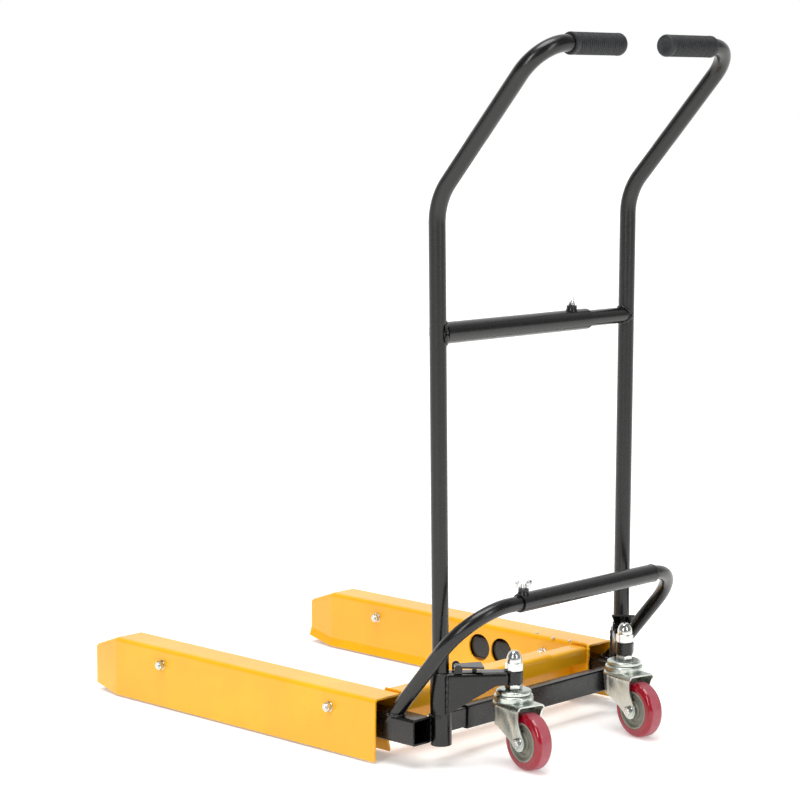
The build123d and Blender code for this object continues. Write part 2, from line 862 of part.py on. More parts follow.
with BuildPart() as wheel_bush:
    with BuildSketch(trail_plane):
        with Locations(wheel_sketch_point):
            Circle(bush_radius)
            Circle(axle_radius + bore_gap, mode=Mode.SUBTRACT)
    extrude(amount=yoke_inner_half_gap - running_gap, both=True)
save_caster(wheel_bush, "wheel_bush")

with BuildPart() as wheel_tyre:
    with BuildSketch(trail_plane):
        with Locations(wheel_sketch_point):
            Circle(wheel_radius)
    extrude(amount=wheel_width / 2, both=True)
    fillet(wheel_tyre.edges().filter_by(GeomType.CIRCLE), tyre_fillet)
    with BuildSketch(trail_plane):
        with Locations(wheel_sketch_point):
            Circle(hub_radius)
    extrude(amount=wheel_width, both=True, mode=Mode.SUBTRACT)
save_caster(wheel_tyre, "wheel_tyre")

# ---- latch tabs above the sleeves: the left one lies down, the right one is raised ----
with BuildPart() as latch_hinge:
    lug_inner = tab_root_width / 2 + running_gap
    for side in (-1, 1):
        with BuildSketch(gusset_plane.offset(side * lug_inner)):
            with Locations((tab_hinge_offset, tab_hinge_z)):
                Circle(tab_lug_radius)
            with Locations((tab_hinge_offset, (tab_hinge_z + sleeve_top_z) / 2)):
                Rectangle(2 * tab_lug_radius, tab_hinge_z - sleeve_top_z)
        extrude(amount=side * tab_lug_thickness)
    with BuildSketch(gusset_plane):
        with Locations((tab_hinge_offset, tab_hinge_z)):
            Circle(tab_pin_radius)
    extrude(amount=lug_inner + tab_lug_thickness, both=True)
save_pair(latch_hinge, "latch_hinge")

with BuildPart() as latch_tab:
    tab_plane = Plane(
        origin=(upright_x, upright_y, tab_hinge_z),
        x_dir=gusset_direction,
        z_dir=(0, 0, 1),
    )
    with BuildSketch(tab_plane):
        Polygon(
            (tab_hinge_offset, -tab_root_width / 2),
            (tab_hinge_offset + tab_straight, -tab_root_width / 2),
            (tab_hinge_offset + tab_length, -tab_tip_width / 2),
            (tab_hinge_offset + tab_length, tab_tip_width / 2),
            (tab_hinge_offset + tab_straight, tab_root_width / 2),
            (tab_hinge_offset, tab_root_width / 2),
            align=None,
        )
    extrude(amount=tab_thickness)
    with BuildSketch(gusset_plane):
        with Locations((tab_hinge_offset, tab_hinge_z)):
            Circle(tab_knuckle_radius)
    extrude(amount=tab_root_width / 2, both=True)
    with BuildSketch(tab_plane):
        with Locations((tab_latch_pin_offset, 0)):
            Circle(tab_latch_pin_radius)
    extrude(amount=sleeve_top_z + running_gap - tab_hinge_z)
    with BuildSketch(gusset_plane):
        with Locations((tab_hinge_offset, tab_hinge_z)):
            Circle(tab_pin_radius + bore_gap)
    extrude(amount=tab_root_width, both=True, mode=Mode.SUBTRACT)
save(latch_tab, "left_latch_tab")

tab_hinge_point = Vector(upright_x, upright_y, tab_hinge_z) + gusset_direction * tab_hinge_offset
with BuildPart() as raised_tab:
    add(latch_tab.part.rotate(Axis(tab_hinge_point, gusset_plane.z_dir), tab_raised_angle))
save_mirrored(raised_tab, "right_latch_tab")
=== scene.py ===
"""Wheel dolly: two yellow pressed-steel forks, a black push frame, a foot lever and two swivel casters.

Every length of a shape is in millimetres and is turned to metres when its mesh is made. Pattern scales, bump
distances, lights and the camera are in metres.
"""

import json

import bmesh
import bpy
import numpy as np
from mathutils import Matrix, Vector


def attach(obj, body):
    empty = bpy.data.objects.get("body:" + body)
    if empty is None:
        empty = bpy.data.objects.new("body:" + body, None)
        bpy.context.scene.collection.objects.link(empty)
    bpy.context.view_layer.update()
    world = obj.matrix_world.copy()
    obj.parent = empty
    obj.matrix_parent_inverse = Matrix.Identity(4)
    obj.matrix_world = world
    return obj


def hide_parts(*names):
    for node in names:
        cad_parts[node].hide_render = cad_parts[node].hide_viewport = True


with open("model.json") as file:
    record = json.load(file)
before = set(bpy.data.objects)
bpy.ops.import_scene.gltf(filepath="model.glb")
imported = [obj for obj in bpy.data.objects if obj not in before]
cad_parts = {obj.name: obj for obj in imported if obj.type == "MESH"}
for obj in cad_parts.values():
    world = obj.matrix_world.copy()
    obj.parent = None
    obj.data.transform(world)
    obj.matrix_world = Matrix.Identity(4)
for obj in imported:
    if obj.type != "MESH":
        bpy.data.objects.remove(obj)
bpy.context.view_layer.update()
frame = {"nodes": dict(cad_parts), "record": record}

MM = 0.001
SIDES = {"left": 1.0, "right": -1.0}

# ---- sizes shared by several pieces ----
SHEET = 3.0
UPRIGHT_BASE = np.array([215.0, 260.0, 60.0])
UPRIGHT_LEAN = np.array([np.tan(np.radians(0.68)), -np.tan(np.radians(0.75)), 1.0])
STEM = np.array([133.0, 330.6])
TRAIL = np.array([np.sin(np.radians(12.0)), np.cos(np.radians(12.0)), 0.0])
ACROSS = np.array([TRAIL[1], -TRAIL[0], 0.0])
UP = np.array([0.0, 0.0, 1.0])
X_AXIS = np.array([1.0, 0.0, 0.0])
WHEEL_Z = 43.0
CASTER_TRAIL = 38.0
BOLT_Z = 71.5
BOLT_Y = (93.0, -286.0)
FORK_X, FORK_TOP, FORK_REAR = 252.0, 99.0, 188.0
NOSE_START, NOSE_TIP = -398.0, -460.0
NOTCH_Y, NOTCH_TOP = 160.0, 24.0
WINDOW_RADIUS, WINDOW_Z, WINDOW_Y = 23.0, 57.0, (-47.5, 1.5)
TUBE_RADIUS, TUBE_BORE = 12.5, 10.5
CROSSBAR_RADIUS, CROSSBAR_Z, CROSSBAR_SCREW_X = 16.0, 644.0, -85.0
HANDLE_Y, HANDLE_Z = 444.0, 1062.0
LOWER_BAR_Y, LOWER_BAR_Z = 236.0, 56.0
LEVER_X, LEVER_Y, LEVER_Z = 257.0, 351.0, 249.0
LEVER_SLEEVE_RADIUS, LEVER_SCREW_X = 14.0, 138.0
GUSSET_TOP = 142.0


# ---- shapes on grids ----
def unit(v):
    """Vectors scaled to length one."""
    v = np.asarray(v, float)
    return v / np.linalg.norm(v, axis=-1, keepdims=True)


def grid_faces(rows, cols, ring_rows=False, ring_cols=True):
    """Corner numbers of a grid's quads; a ring joins its last line to its first."""
    r = np.arange(rows if ring_rows else rows - 1)[:, None]
    c = np.arange(cols if ring_cols else cols - 1)[None, :]
    r2, c2 = (r + 1) % rows, (c + 1) % cols
    corners = [r * cols + c, r * cols + c2, r2 * cols + c2, r2 * cols + c]
    return np.stack(np.broadcast_arrays(*corners), -1).reshape(-1, 4)


def skin(points, ring_rows=False, ring_cols=True, capped=False):
    """A grid of points as one shell; capped closes the first and the last line with a flat face."""
    rows, cols = points.shape[:2]
    faces = grid_faces(rows, cols, ring_rows, ring_cols).tolist()
    if capped:
        faces += [list(range(cols))[::-1], list(range((rows - 1) * cols, rows * cols))]
    return points.reshape(-1, 3), faces


def together(*shells):
    """Several shells in one mesh."""
    points, faces, count = [], [], 0
    for shell_points, shell_faces in shells:
        points.append(shell_points)
        faces += [[i + count for i in face] for face in shell_faces]
        count += len(shell_points)
    return np.concatenate(points), faces


def mirrored(shell):
    """The same shell on the other side of the machine."""
    return shell[0] * np.array([-1.0, 1.0, 1.0]), shell[1]


def rounded_path(corners, bends, run_points=2, arc_points=10, closed=False):
    """Straight runs joined by arcs: an arc of radius r starts r * tan(half its turn) before its corner."""
    p = np.asarray(corners, float)
    n = len(p)
    bends = np.broadcast_to(np.asarray(bends, float), (n if closed else n - 2,))
    middle = np.arange(n) if closed else np.arange(1, n - 1)
    here, before, after = p[middle], p[middle - 1], p[(middle + 1) % n]
    u, v = unit(before - here), unit(after - here)
    half = 0.5 * np.arccos(np.clip(-(u * v).sum(-1), -1, 1))
    start = here + u * (bends * np.tan(half))[:, None]
    centre = here + unit(u + v) * (bends / np.cos(half))[:, None]
    turn = np.linspace(0, 1, arc_points)[None, :, None] * 2 * half[:, None, None]
    arcs = (centre[:, None] + np.cos(turn) * (start - centre)[:, None]
            - np.sin(turn) * (u * bends[:, None])[:, None])
    if closed:
        ends, starts = arcs[:, -1], np.roll(arcs[:, 0], -1, 0)
    else:
        ends, starts = np.concatenate([p[:1], arcs[:, -1]]), np.concatenate([arcs[:, 0], p[-1:]])
    counts = np.broadcast_to(np.asarray(run_points), (len(ends),))
    out = []
    for i, (a, b, count) in enumerate(zip(ends, starts, counts)):
        run = a + np.linspace(0, 1, count)[:, None] * (b - a)
        if closed:
            out += [arcs[i], run[1:-1]]
        else:
            out += [run[(1 if i else 0):], arcs[i][1:]] if i < len(arcs) else [run[1:]]
    return np.concatenate(out)


def frames_along(path, reference):
    """Two directions square to the path at each point, turned as little as the reference allows."""
    tangent = unit(np.gradient(path, axis=0))
    first = unit(reference - (tangent @ reference)[:, None] * tangent)
    return tangent, first, np.cross(tangent, first)


def carried(outline, path, first, second):
    """An outline, or one outline for each point of the path, carried along the path."""
    outline = np.broadcast_to(outline, (len(path),) + np.shape(outline)[-2:])
    return path[:, None] + outline[..., :1] * first[:, None] + outline[..., 1:] * second[:, None]


def circle(radius, count=48):
    """Points round a circle."""
    angle = np.linspace(0, 2 * np.pi, count, endpoint=False)
    return radius * np.stack([np.cos(angle), np.sin(angle)], -1)


def rectangle(width, height, bend, arc_points=7, run_points=2):
    """A rectangle with round corners, centred."""
    w, h = width / 2, height / 2
    corners = [(w, h), (-w, h), (-w, -h), (w, -h)]
    return rounded_path(corners, bend, run_points, arc_points, closed=True)


def hollow(outer, inner, path, reference, rim=0.5):
    """A tube with walls: the outer outline runs to the far end and the inner one comes back.

    At both ends the outer outline draws in by the rim, which rounds the cut edge.
    """
    _, first, second = frames_along(path, np.asarray(reference, float))
    out = carried(outer, path, first, second)
    back = carried(inner, path, first, second)[::-1]
    start_in, end_in = unit(path[1] - path[0]) * rim, unit(path[-2] - path[-1]) * rim
    drawn_in = 1 - rim / np.abs(outer).max()
    first_rim = path[0] + (out[:1] - path[0]) * drawn_in
    last_rim = path[-1] + (out[-1:] - path[-1]) * drawn_in
    rows = [first_rim, out[:1] + start_in, out[1:-1], out[-1:] + end_in, last_rim, back]
    return skin(np.concatenate(rows), ring_rows=True)


def turned(profile, centre, axis, count=64, closed=False):
    """A lathe shape: each (radius, height) of the profile goes once round the axis."""
    axis = unit(axis)
    helper = X_AXIS if abs(axis[0]) < 0.9 else UP
    first = unit(np.cross(axis, helper))
    second = np.cross(axis, first)
    angle = np.linspace(0, 2 * np.pi, count, endpoint=False)[None, :, None]
    profile = np.asarray(profile, float)
    radius, height = profile[:, None, :1], profile[:, None, 1:]
    round_it = np.cos(angle) * first + np.sin(angle) * second
    return skin(np.asarray(centre, float) + radius * round_it + height * axis, ring_rows=closed)


def hexagon_nut(centre, axis, flats, height, bore, spin=0.0, count=72):
    """A nut: its radius is the hexagon's, cut at both ends by a 30 degree cone."""
    axis = unit(axis)
    helper = X_AXIS if abs(axis[0]) < 0.9 else UP
    first = unit(np.cross(axis, helper))
    second = np.cross(axis, first)
    angle = np.linspace(0, 2 * np.pi, count, endpoint=False)
    hexagon = flats / 2 / np.cos((angle + spin) % (np.pi / 3) - np.pi / 6)
    depth = np.linspace(0, flats * 0.09, 5)
    cone = flats / 2 * 0.96 + depth / np.tan(np.radians(30))
    heights = np.concatenate([depth, (height - depth)[::-1]])
    limit = np.concatenate([cone, cone[::-1]])
    radius = np.minimum(hexagon[None], limit[:, None])
    radius = np.concatenate([radius, np.full((2, count), bore)])
    heights = np.concatenate([heights, [height, 0.0]])
    round_it = np.cos(angle)[None, :, None] * first + np.sin(angle)[None, :, None] * second
    points = np.asarray(centre, float) + radius[..., None] * round_it + heights[:, None, None] * axis
    return skin(points, ring_rows=True)


def screw_thread(centre, axis, radius, length, pitch=1.25):
    """A thread drawn as close rings, with a chamfered end."""
    height = np.linspace(0, length - 0.8, max(12, int(length / pitch) * 6))
    ridge = radius - 0.32 * (0.5 + 0.5 * np.cos(height * 2 * np.pi / pitch))
    profile = [(0, 0), *np.stack([ridge, height], -1), (radius - 1.0, length), (0, length)]
    return turned(profile, centre, axis, 32)


def weld_bead(path, width=4.2, height=2.0, pitch=2.6, seed=0.0):
    """A bead along a path: a low dome whose height and width swell at every drop of the weld."""
    path = np.asarray(path, float)
    step = np.linalg.norm(np.diff(path, axis=0), axis=1)
    along = np.concatenate([[0], np.cumsum(step)])
    even = np.linspace(0, along[-1], max(12, int(along[-1] / 0.7)))
    path = np.stack([np.interp(even, along, path[:, i]) for i in range(3)], -1)
    swell = 1 + 0.14 * np.abs(np.sin(np.pi * even / pitch)) + 0.12 * np.sin(even * 0.61 + seed)
    taper = np.clip(np.minimum(even, even[-1] - even) / 2.0, 0.05, 1) ** 0.5
    level = abs(path[-1, 2] - path[0, 2]) < 20
    reference = np.array([0.31, 0.22, 0.93]) if level else np.array([0.8, 0.6, 0.05])
    _, first, second = frames_along(path, reference)
    size = (swell * taper)[:, None, None] * np.array([width, height])
    return skin(carried(circle(0.5, 14) * size * np.array([1.0, 1.7]), path, first, second), capped=True)


# ---- materials ----
def linear(hex_colour):
    """An sRGB hex colour as the linear colour that a shader takes."""
    value = np.array([int(hex_colour[i:i + 2], 16) for i in (1, 3, 5)]) / 255
    value = np.where(value <= 0.04045, value / 12.92, ((value + 0.055) / 1.055) ** 2.4)
    return (*value.tolist(), 1.0)


def add_node(tree, kind, settings=None, inputs=None):
    """One node with its settings, its fixed inputs and its links."""
    node = tree.nodes.new(kind)
    for name, value in (settings or {}).items():
        setattr(node, name, value)
    for name, value in (inputs or {}).items():
        if isinstance(value, bpy.types.NodeSocket):
            tree.links.new(value, node.inputs[name])
        else:
            node.inputs[name].default_value = value
    return node


def finish(name, **fixed):
    """An empty material: its tree, its shader and the object coordinates."""
    material = bpy.data.materials.new(name)
    material.use_nodes = True
    tree = material.node_tree
    shader = tree.nodes["Principled BSDF"]
    for socket, value in fixed.items():
        shader.inputs[socket.replace("_", " ")].default_value = value
    place = tree.nodes.new("ShaderNodeTexCoord").outputs["Object"]
    return material, tree, shader, place


def colour_steps(tree, factor, stops):
    """A ramp from one colour to the next."""
    ramp = add_node(tree, "ShaderNodeValToRGB", inputs={"Fac": factor})
    ends = ramp.color_ramp.elements
    for i, (position, hex_colour) in enumerate(stops):
        element = ends[i] if i < 2 else ends.new(position)
        element.position = position
        element.color = linear(hex_colour)
    return ramp.outputs["Color"]


def spread(tree, factor, low, high, out_low, out_high):
    """A value stretched from one range to another, and kept inside it."""
    return add_node(tree, "ShaderNodeMapRange", inputs={
        "Value": factor, "From Min": low, "From Max": high, "To Min": out_low, "To Max": out_high}).outputs["Result"]


def fork_enamel():
    """Alkyd enamel sprayed on pressed mild steel: glossy, with orange peel and soft dents in the sheet."""
    material, tree, shader, place = finish("sprayed_yellow_enamel", IOR=1.5, Coat_Weight=0.25, Coat_Roughness=0.12)
    cloud = add_node(tree, "ShaderNodeTexNoise", inputs={"Vector": place, "Scale": 9.0, "Detail": 4.0}).outputs["Fac"]
    tint = colour_steps(tree, cloud, [(0.3, "#F2AC00"), (0.7, "#FAB900"), (0.52, "#F6B200")])
    grime = add_node(tree, "ShaderNodeTexNoise", inputs={
        "Vector": place, "Scale": 140.0, "Detail": 6.0, "Roughness": 0.7}).outputs["Fac"]
    scuff = spread(tree, grime, 0.66, 0.74, 0.0, 0.45)
    mixed = add_node(tree, "ShaderNodeMix", {"data_type": "RGBA"}, {
        "Factor": scuff, "A": tint, "B": linear("#B97C05")})
    tree.links.new(mixed.outputs["Result"], shader.inputs["Base Color"])
    tree.links.new(spread(tree, grime, 0.35, 0.7, 0.27, 0.42), shader.inputs["Roughness"])
    # orange peel with 3 mm cells, over shallow 60 mm waves that the press leaves
    peel = add_node(tree, "ShaderNodeTexNoise", inputs={"Vector": place, "Scale": 330.0, "Detail": 2.0}).outputs["Fac"]
    waves = add_node(tree, "ShaderNodeTexNoise", inputs={"Vector": place, "Scale": 16.0, "Detail": 1.0}).outputs["Fac"]
    broad = add_node(tree, "ShaderNodeBump", inputs={"Height": waves, "Distance": 0.0016, "Strength": 0.5})
    bump = add_node(tree, "ShaderNodeBump", inputs={
        "Height": peel, "Distance": 0.00012, "Strength": 0.55, "Normal": broad.outputs["Normal"]})
    tree.links.new(bump.outputs["Normal"], shader.inputs["Normal"])
    return material


def frame_enamel():
    """Black alkyd enamel on drawn steel tube: deep gloss with long highlights, a little dust and fine scratches."""
    material, tree, shader, place = finish("sprayed_black_enamel", IOR=1.5, Coat_Weight=0.15, Coat_Roughness=0.1)
    dust = add_node(tree, "ShaderNodeTexNoise", inputs={
        "Vector": place, "Scale": 60.0, "Detail": 8.0, "Roughness": 0.72}).outputs["Fac"]
    tint = colour_steps(tree, dust, [(0.45, "#050505"), (0.85, "#151412"), (0.65, "#080808")])
    tree.links.new(tint, shader.inputs["Base Color"])
    tree.links.new(spread(tree, dust, 0.35, 0.7, 0.24, 0.33), shader.inputs["Roughness"])
    # orange peel with 2.5 mm cells and drawing lines 25 mm apart along the tube
    peel = add_node(tree, "ShaderNodeTexNoise", inputs={"Vector": place, "Scale": 400.0, "Detail": 2.0}).outputs["Fac"]
    waves = add_node(tree, "ShaderNodeTexNoise", inputs={"Vector": place, "Scale": 40.0, "Detail": 1.0}).outputs["Fac"]
    broad = add_node(tree, "ShaderNodeBump", inputs={"Height": waves, "Distance": 0.0004, "Strength": 0.4})
    bump = add_node(tree, "ShaderNodeBump", inputs={
        "Height": peel, "Distance": 0.0001, "Strength": 0.5, "Normal": broad.outputs["Normal"]})
    tree.links.new(bump.outputs["Normal"], shader.inputs["Normal"])
    return material


def bright_zinc():
    """Bright zinc plate on turned and cold-headed steel: silvery, nearly mirror, with faint cloudy patches."""
    material, tree, shader, place = finish("bright_zinc_plate", Metallic=1.0)
    cloud = add_node(tree, "ShaderNodeTexNoise", inputs={"Vector": place, "Scale": 90.0, "Detail": 5.0}).outputs["Fac"]
    tree.links.new(colour_steps(tree, cloud, [(0.3, "#C3C6C4"), (0.75, "#EDEEEA")]), shader.inputs["Base Color"])
    tree.links.new(spread(tree, cloud, 0.3, 0.7, 0.14, 0.28), shader.inputs["Roughness"])
    pits = add_node(tree, "ShaderNodeTexNoise", inputs={"Vector": place, "Scale": 700.0, "Detail": 2.0}).outputs["Fac"]
    bump = add_node(tree, "ShaderNodeBump", inputs={"Height": pits, "Distance": 0.00008, "Strength": 0.4})
    tree.links.new(bump.outputs["Normal"], shader.inputs["Normal"])
    return material


def zinc_pressing():
    """Blue-passivated zinc on a drawn sheet: cool silver with a green-blue cast, draw lines down the legs."""
    material, tree, shader, place = finish("blue_zinc_pressing", Metallic=1.0)
    stretch = add_node(tree, "ShaderNodeMapping", inputs={"Vector": place, "Scale": (1.0, 1.0, 0.12)}).outputs["Vector"]
    draw = add_node(tree, "ShaderNodeTexNoise", inputs={"Vector": stretch, "Scale": 260.0, "Detail": 5.0}).outputs["Fac"]
    cloud = add_node(tree, "ShaderNodeTexNoise", inputs={"Vector": place, "Scale": 35.0, "Detail": 3.0}).outputs["Fac"]
    tint = colour_steps(tree, cloud, [(0.3, "#B9C2BC"), (0.72, "#E0E2D9"), (0.5, "#CDD3CB")])
    tree.links.new(tint, shader.inputs["Base Color"])
    tree.links.new(spread(tree, draw, 0.3, 0.7, 0.24, 0.36), shader.inputs["Roughness"])
    bump = add_node(tree, "ShaderNodeBump", inputs={"Height": draw, "Distance": 0.00006, "Strength": 0.3})
    tree.links.new(bump.outputs["Normal"], shader.inputs["Normal"])
    return material


def red_polyurethane():
    """Cast polyurethane: clear deep red with a wet gloss on its flanks, chalky and scuffed where it rolls."""
    material, tree, shader, place = finish("cast_red_polyurethane", IOR=1.5, Coat_Weight=0.35, Coat_Roughness=0.06)
    tread = add_node(tree, "ShaderNodeAttribute", {"attribute_name": "tread"}).outputs["Fac"]
    cloud = add_node(tree, "ShaderNodeTexNoise", inputs={
        "Vector": place, "Scale": 120.0, "Detail": 6.0, "Roughness": 0.65}).outputs["Fac"]
    worn = add_node(tree, "ShaderNodeMath", {"operation": "MULTIPLY"}, {
        0: tread, 1: spread(tree, cloud, 0.3, 0.6, 0.6, 1.0)}).outputs[0]
    deep = colour_steps(tree, cloud, [(0.3, "#8A041C"), (0.7, "#9F0822")])
    mixed = add_node(tree, "ShaderNodeMix", {"data_type": "RGBA"}, {"Factor": worn, "A": deep, "B": linear("#A9505C")})
    tree.links.new(mixed.outputs["Result"], shader.inputs["Base Color"])
    tree.links.new(spread(tree, worn, 0.0, 1.0, 0.16, 0.62), shader.inputs["Roughness"])
    fine = add_node(tree, "ShaderNodeTexNoise", inputs={"Vector": place, "Scale": 300.0, "Detail": 3.0}).outputs["Fac"]
    bump = add_node(tree, "ShaderNodeBump", inputs={"Height": fine, "Distance": 0.00015, "Strength": 0.5})
    tree.links.new(bump.outputs["Normal"], shader.inputs["Normal"])
    return material


def hub_plastic():
    """Injection-moulded polypropylene: warm grey, satin, with a faint flow pattern."""
    material, tree, shader, place = finish("moulded_grey_polypropylene", IOR=1.49)
    flow = add_node(tree, "ShaderNodeTexNoise", inputs={"Vector": place, "Scale": 70.0, "Detail": 5.0}).outputs["Fac"]
    tree.links.new(colour_steps(tree, flow, [(0.3, "#7C7C6D"), (0.7, "#94948A")]), shader.inputs["Base Color"])
    tree.links.new(spread(tree, flow, 0.3, 0.7, 0.34, 0.46), shader.inputs["Roughness"])
    grain = add_node(tree, "ShaderNodeTexNoise", inputs={"Vector": place, "Scale": 900.0, "Detail": 2.0}).outputs["Fac"]
    bump = add_node(tree, "ShaderNodeBump", inputs={"Height": grain, "Distance": 0.00008, "Strength": 0.4})
    tree.links.new(bump.outputs["Normal"], shader.inputs["Normal"])
    return material


def grip_rubber():
    """Moulded PVC rubber: soft black with a low sheen and a fine pebble between its ribs."""
    material, tree, shader, place = finish("moulded_black_rubber", IOR=1.5)
    cloud = add_node(tree, "ShaderNodeTexNoise", inputs={"Vector": place, "Scale": 110.0, "Detail": 5.0}).outputs["Fac"]
    tree.links.new(colour_steps(tree, cloud, [(0.3, "#161719"), (0.72, "#25272A")]), shader.inputs["Base Color"])
    tree.links.new(spread(tree, cloud, 0.3, 0.7, 0.45, 0.6), shader.inputs["Roughness"])
    pebble = add_node(tree, "ShaderNodeTexVoronoi", inputs={"Vector": place, "Scale": 900.0}).outputs["Distance"]
    bump = add_node(tree, "ShaderNodeBump", inputs={"Height": pebble, "Distance": 0.00012, "Strength": 0.4})
    tree.links.new(bump.outputs["Normal"], shader.inputs["Normal"])
    return material


def roller_nylon():
    """Turned black nylon: satin, with fine tool rings across the roller."""
    material, tree, shader, place = finish("turned_black_nylon", IOR=1.53)
    rings = add_node(tree, "ShaderNodeTexWave", {"bands_direction": "X"}, {
        "Vector": place, "Scale": 260.0, "Distortion": 0.6}).outputs["Fac"]
    dirt = add_node(tree, "ShaderNodeTexNoise", inputs={"Vector": place, "Scale": 80.0, "Detail": 6.0}).outputs["Fac"]
    tree.links.new(colour_steps(tree, dirt, [(0.35, "#1B1B1C"), (0.7, "#34322E")]), shader.inputs["Base Color"])
    tree.links.new(spread(tree, dirt, 0.3, 0.7, 0.4, 0.6), shader.inputs["Roughness"])
    bump = add_node(tree, "ShaderNodeBump", inputs={"Height": rings, "Distance": 0.0001, "Strength": 0.3})
    tree.links.new(bump.outputs["Normal"], shader.inputs["Normal"])
    return material


MATERIALS = {
    "fork_enamel": fork_enamel(),
    "frame_enamel": frame_enamel(),
    "bright_zinc": bright_zinc(),
    "zinc_sheet": zinc_pressing(),
    "red_polyurethane": red_polyurethane(),
    "hub_plastic": hub_plastic(),
    "roller_nylon": roller_nylon(),
    "grip_rubber": grip_rubber(),
}


# ---- making a piece ----
def piece(name, shell, slot, body, stands_for=(), crease=35.0):
    """One object from a shell: merged, turned outwards, smooth except over the crease angle, riding on its body."""
    points, faces = shell
    mesh = bpy.data.meshes.new(name)
    mesh.from_pydata((points * MM).tolist(), [], faces)
    work = bmesh.new()
    work.from_mesh(mesh)
    bmesh.ops.remove_doubles(work, verts=work.verts, dist=2e-6)
    bmesh.ops.recalc_face_normals(work, faces=work.faces)
    work.to_mesh(mesh)
    work.free()
    mesh.polygons.foreach_set("use_smooth", np.ones(len(mesh.polygons), bool))
    mesh.set_sharp_from_angle(angle=np.radians(crease))
    mesh.materials.append(MATERIALS[slot])
    shape = bpy.data.objects.new(name, mesh)
    bpy.context.scene.collection.objects.link(shape)
    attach(shape, body)
    if stands_for:
        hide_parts(*stands_for)
    return shape


def both_sides(name, shell, slot, body, stands_for=()):
    """A piece on the left half and its mirror image on the right half."""
    for side in SIDES:
        copy = shell if side == "left" else mirrored(shell)
        piece(f"{side}_{name}", copy, slot, f"{side}_{body}", [f"{side}_{node}" for node in stands_for])


def upright_at(height):
    """Centre of the left upright at a height."""
    return UPRIGHT_BASE + UPRIGHT_LEAN * (height - UPRIGHT_BASE[2])


# ---- forks ----
def fork_chain(narrow, top, bottom, inner_bottom, lip=5.0):
    """Middle line of the bent sheet: up the outer wall, over the top, down the inner wall and out along its lip."""
    outer, inner, half = 282.0 - narrow, 222.0 + narrow, SHEET / 2
    corners = [(outer - half, bottom), (outer - half, top - half), (inner + half, top - half),
               (inner + half, inner_bottom + 14), (inner - lip + half, inner_bottom)]
    return rounded_path(corners, [5.0, 5.0, 6.0], [34, 16, 26, 5], 7)


def sheet_outline(chain):
    """Both faces of a sheet whose middle line is the chain, as one closed outline."""
    tangent = unit(np.gradient(chain, axis=-2))
    square = np.stack([tangent[..., 1], -tangent[..., 0]], -1) * SHEET / 2
    return np.concatenate([chain + square, (chain - square)[..., ::-1, :]], -2)


def fork_pressing():
    """Sheet outline carried along the fork, and the plate that closes its nose.

    The nose narrows evenly to its tip, the outer wall is dished round each bolt by a bell curve, and behind the
    notch the inner wall stops higher up.
    """
    y = np.concatenate([
        np.linspace(FORK_REAR, NOTCH_Y + 0.02, 16),
        np.linspace(NOTCH_Y, NOSE_START, 250),
        np.linspace(NOSE_START, NOSE_TIP, 24)[1:]])
    share = np.clip((NOSE_START - y) / (NOSE_START - NOSE_TIP), 0, 1)[:, None, None]
    straight, tip = sheet_outline(fork_chain(0, FORK_TOP, 3.5, 3.5)), sheet_outline(fork_chain(11, 77, 11.5, 11.5))
    outline = straight + (tip - straight) * share
    outline[y > NOTCH_Y] = sheet_outline(fork_chain(0, FORK_TOP, 3.5, NOTCH_TOP, lip=0.5))
    x, z = outline[..., 0], outline[..., 1]
    yy = np.broadcast_to(y[:, None], x.shape)
    dent = np.zeros_like(x)
    for bolt in BOLT_Y:
        away = np.hypot(yy - bolt, z - BOLT_Z)
        dent -= 0.9 * np.exp(-((away / 13) ** 2))
        pimple = np.hypot(yy - bolt - 1.5, z - BOLT_Z + 12.5)
        dent += 1.3 * np.exp(-((pimple / 3.0) ** 2))
    on_outer_wall = (x > 270) & (z < 92)
    slack = 0.25 * np.sin(yy / 61) * np.sin(z / 17) + 0.18 * np.sin(yy / 23 + z / 31)
    outline = outline.copy()
    outline[..., 0] += np.where(on_outer_wall, dent + slack, 0)
    top_wave = 0.2 * np.sin(yy / 47) * np.sin((x - 222) / 60 * np.pi)
    outline[..., 1] += np.where((z > 92) & (x > 232) & (x < 272), top_wave, 0)
    points = np.concatenate([outline[..., :1], yy[..., None], outline[..., 1:]], -1)
    shell = skin(points, capped=True)
    plate_path = np.array([[FORK_X, y_place, 44.2] for y_place in (-456.5, -457.5, -459.2, NOSE_TIP)])
    plate = rectangle(35.4, 63.0, 4.0)
    shrink = np.array([0.98, 1.0, 1.0, 0.985])[:, None, None]
    nose_plate = skin(carried(plate * shrink, plate_path, np.tile(X_AXIS, (4, 1)), np.tile(UP, (4, 1))), capped=True)
    return shell, nose_plate


def cut_windows(shape, side):
    """Round windows in the inner wall, cut with a turned cutter."""
    disc = [(0, -9), (WINDOW_RADIUS, -9), (WINDOW_RADIUS, 9), (0, 9)]
    cutters = [turned(disc, (side * 223.5, y, WINDOW_Z), X_AXIS, 64) for y in WINDOW_Y]
    points, faces = together(*cutters)
    mesh = bpy.data.meshes.new("window_cutter")
    mesh.from_pydata((points * MM).tolist(), [], faces)
    work = bmesh.new()
    work.from_mesh(mesh)
    bmesh.ops.remove_doubles(work, verts=work.verts, dist=2e-6)
    bmesh.ops.recalc_face_normals(work, faces=work.faces)
    work.to_mesh(mesh)
    work.free()
    cutter = bpy.data.objects.new("window_cutter", mesh)
    bpy.context.scene.collection.objects.link(cutter)
    cut = shape.modifiers.new("windows", "BOOLEAN")
    cut.operation, cut.solver, cut.object = "DIFFERENCE", "EXACT", cutter
    bpy.context.view_layer.update()
    result = bpy.data.meshes.new_from_object(shape.evaluated_get(bpy.context.evaluated_depsgraph_get()))
    shape.modifiers.clear()
    shape.data = result
    bpy.data.objects.remove(cutter)
    result.set_sharp_from_angle(angle=np.radians(35))


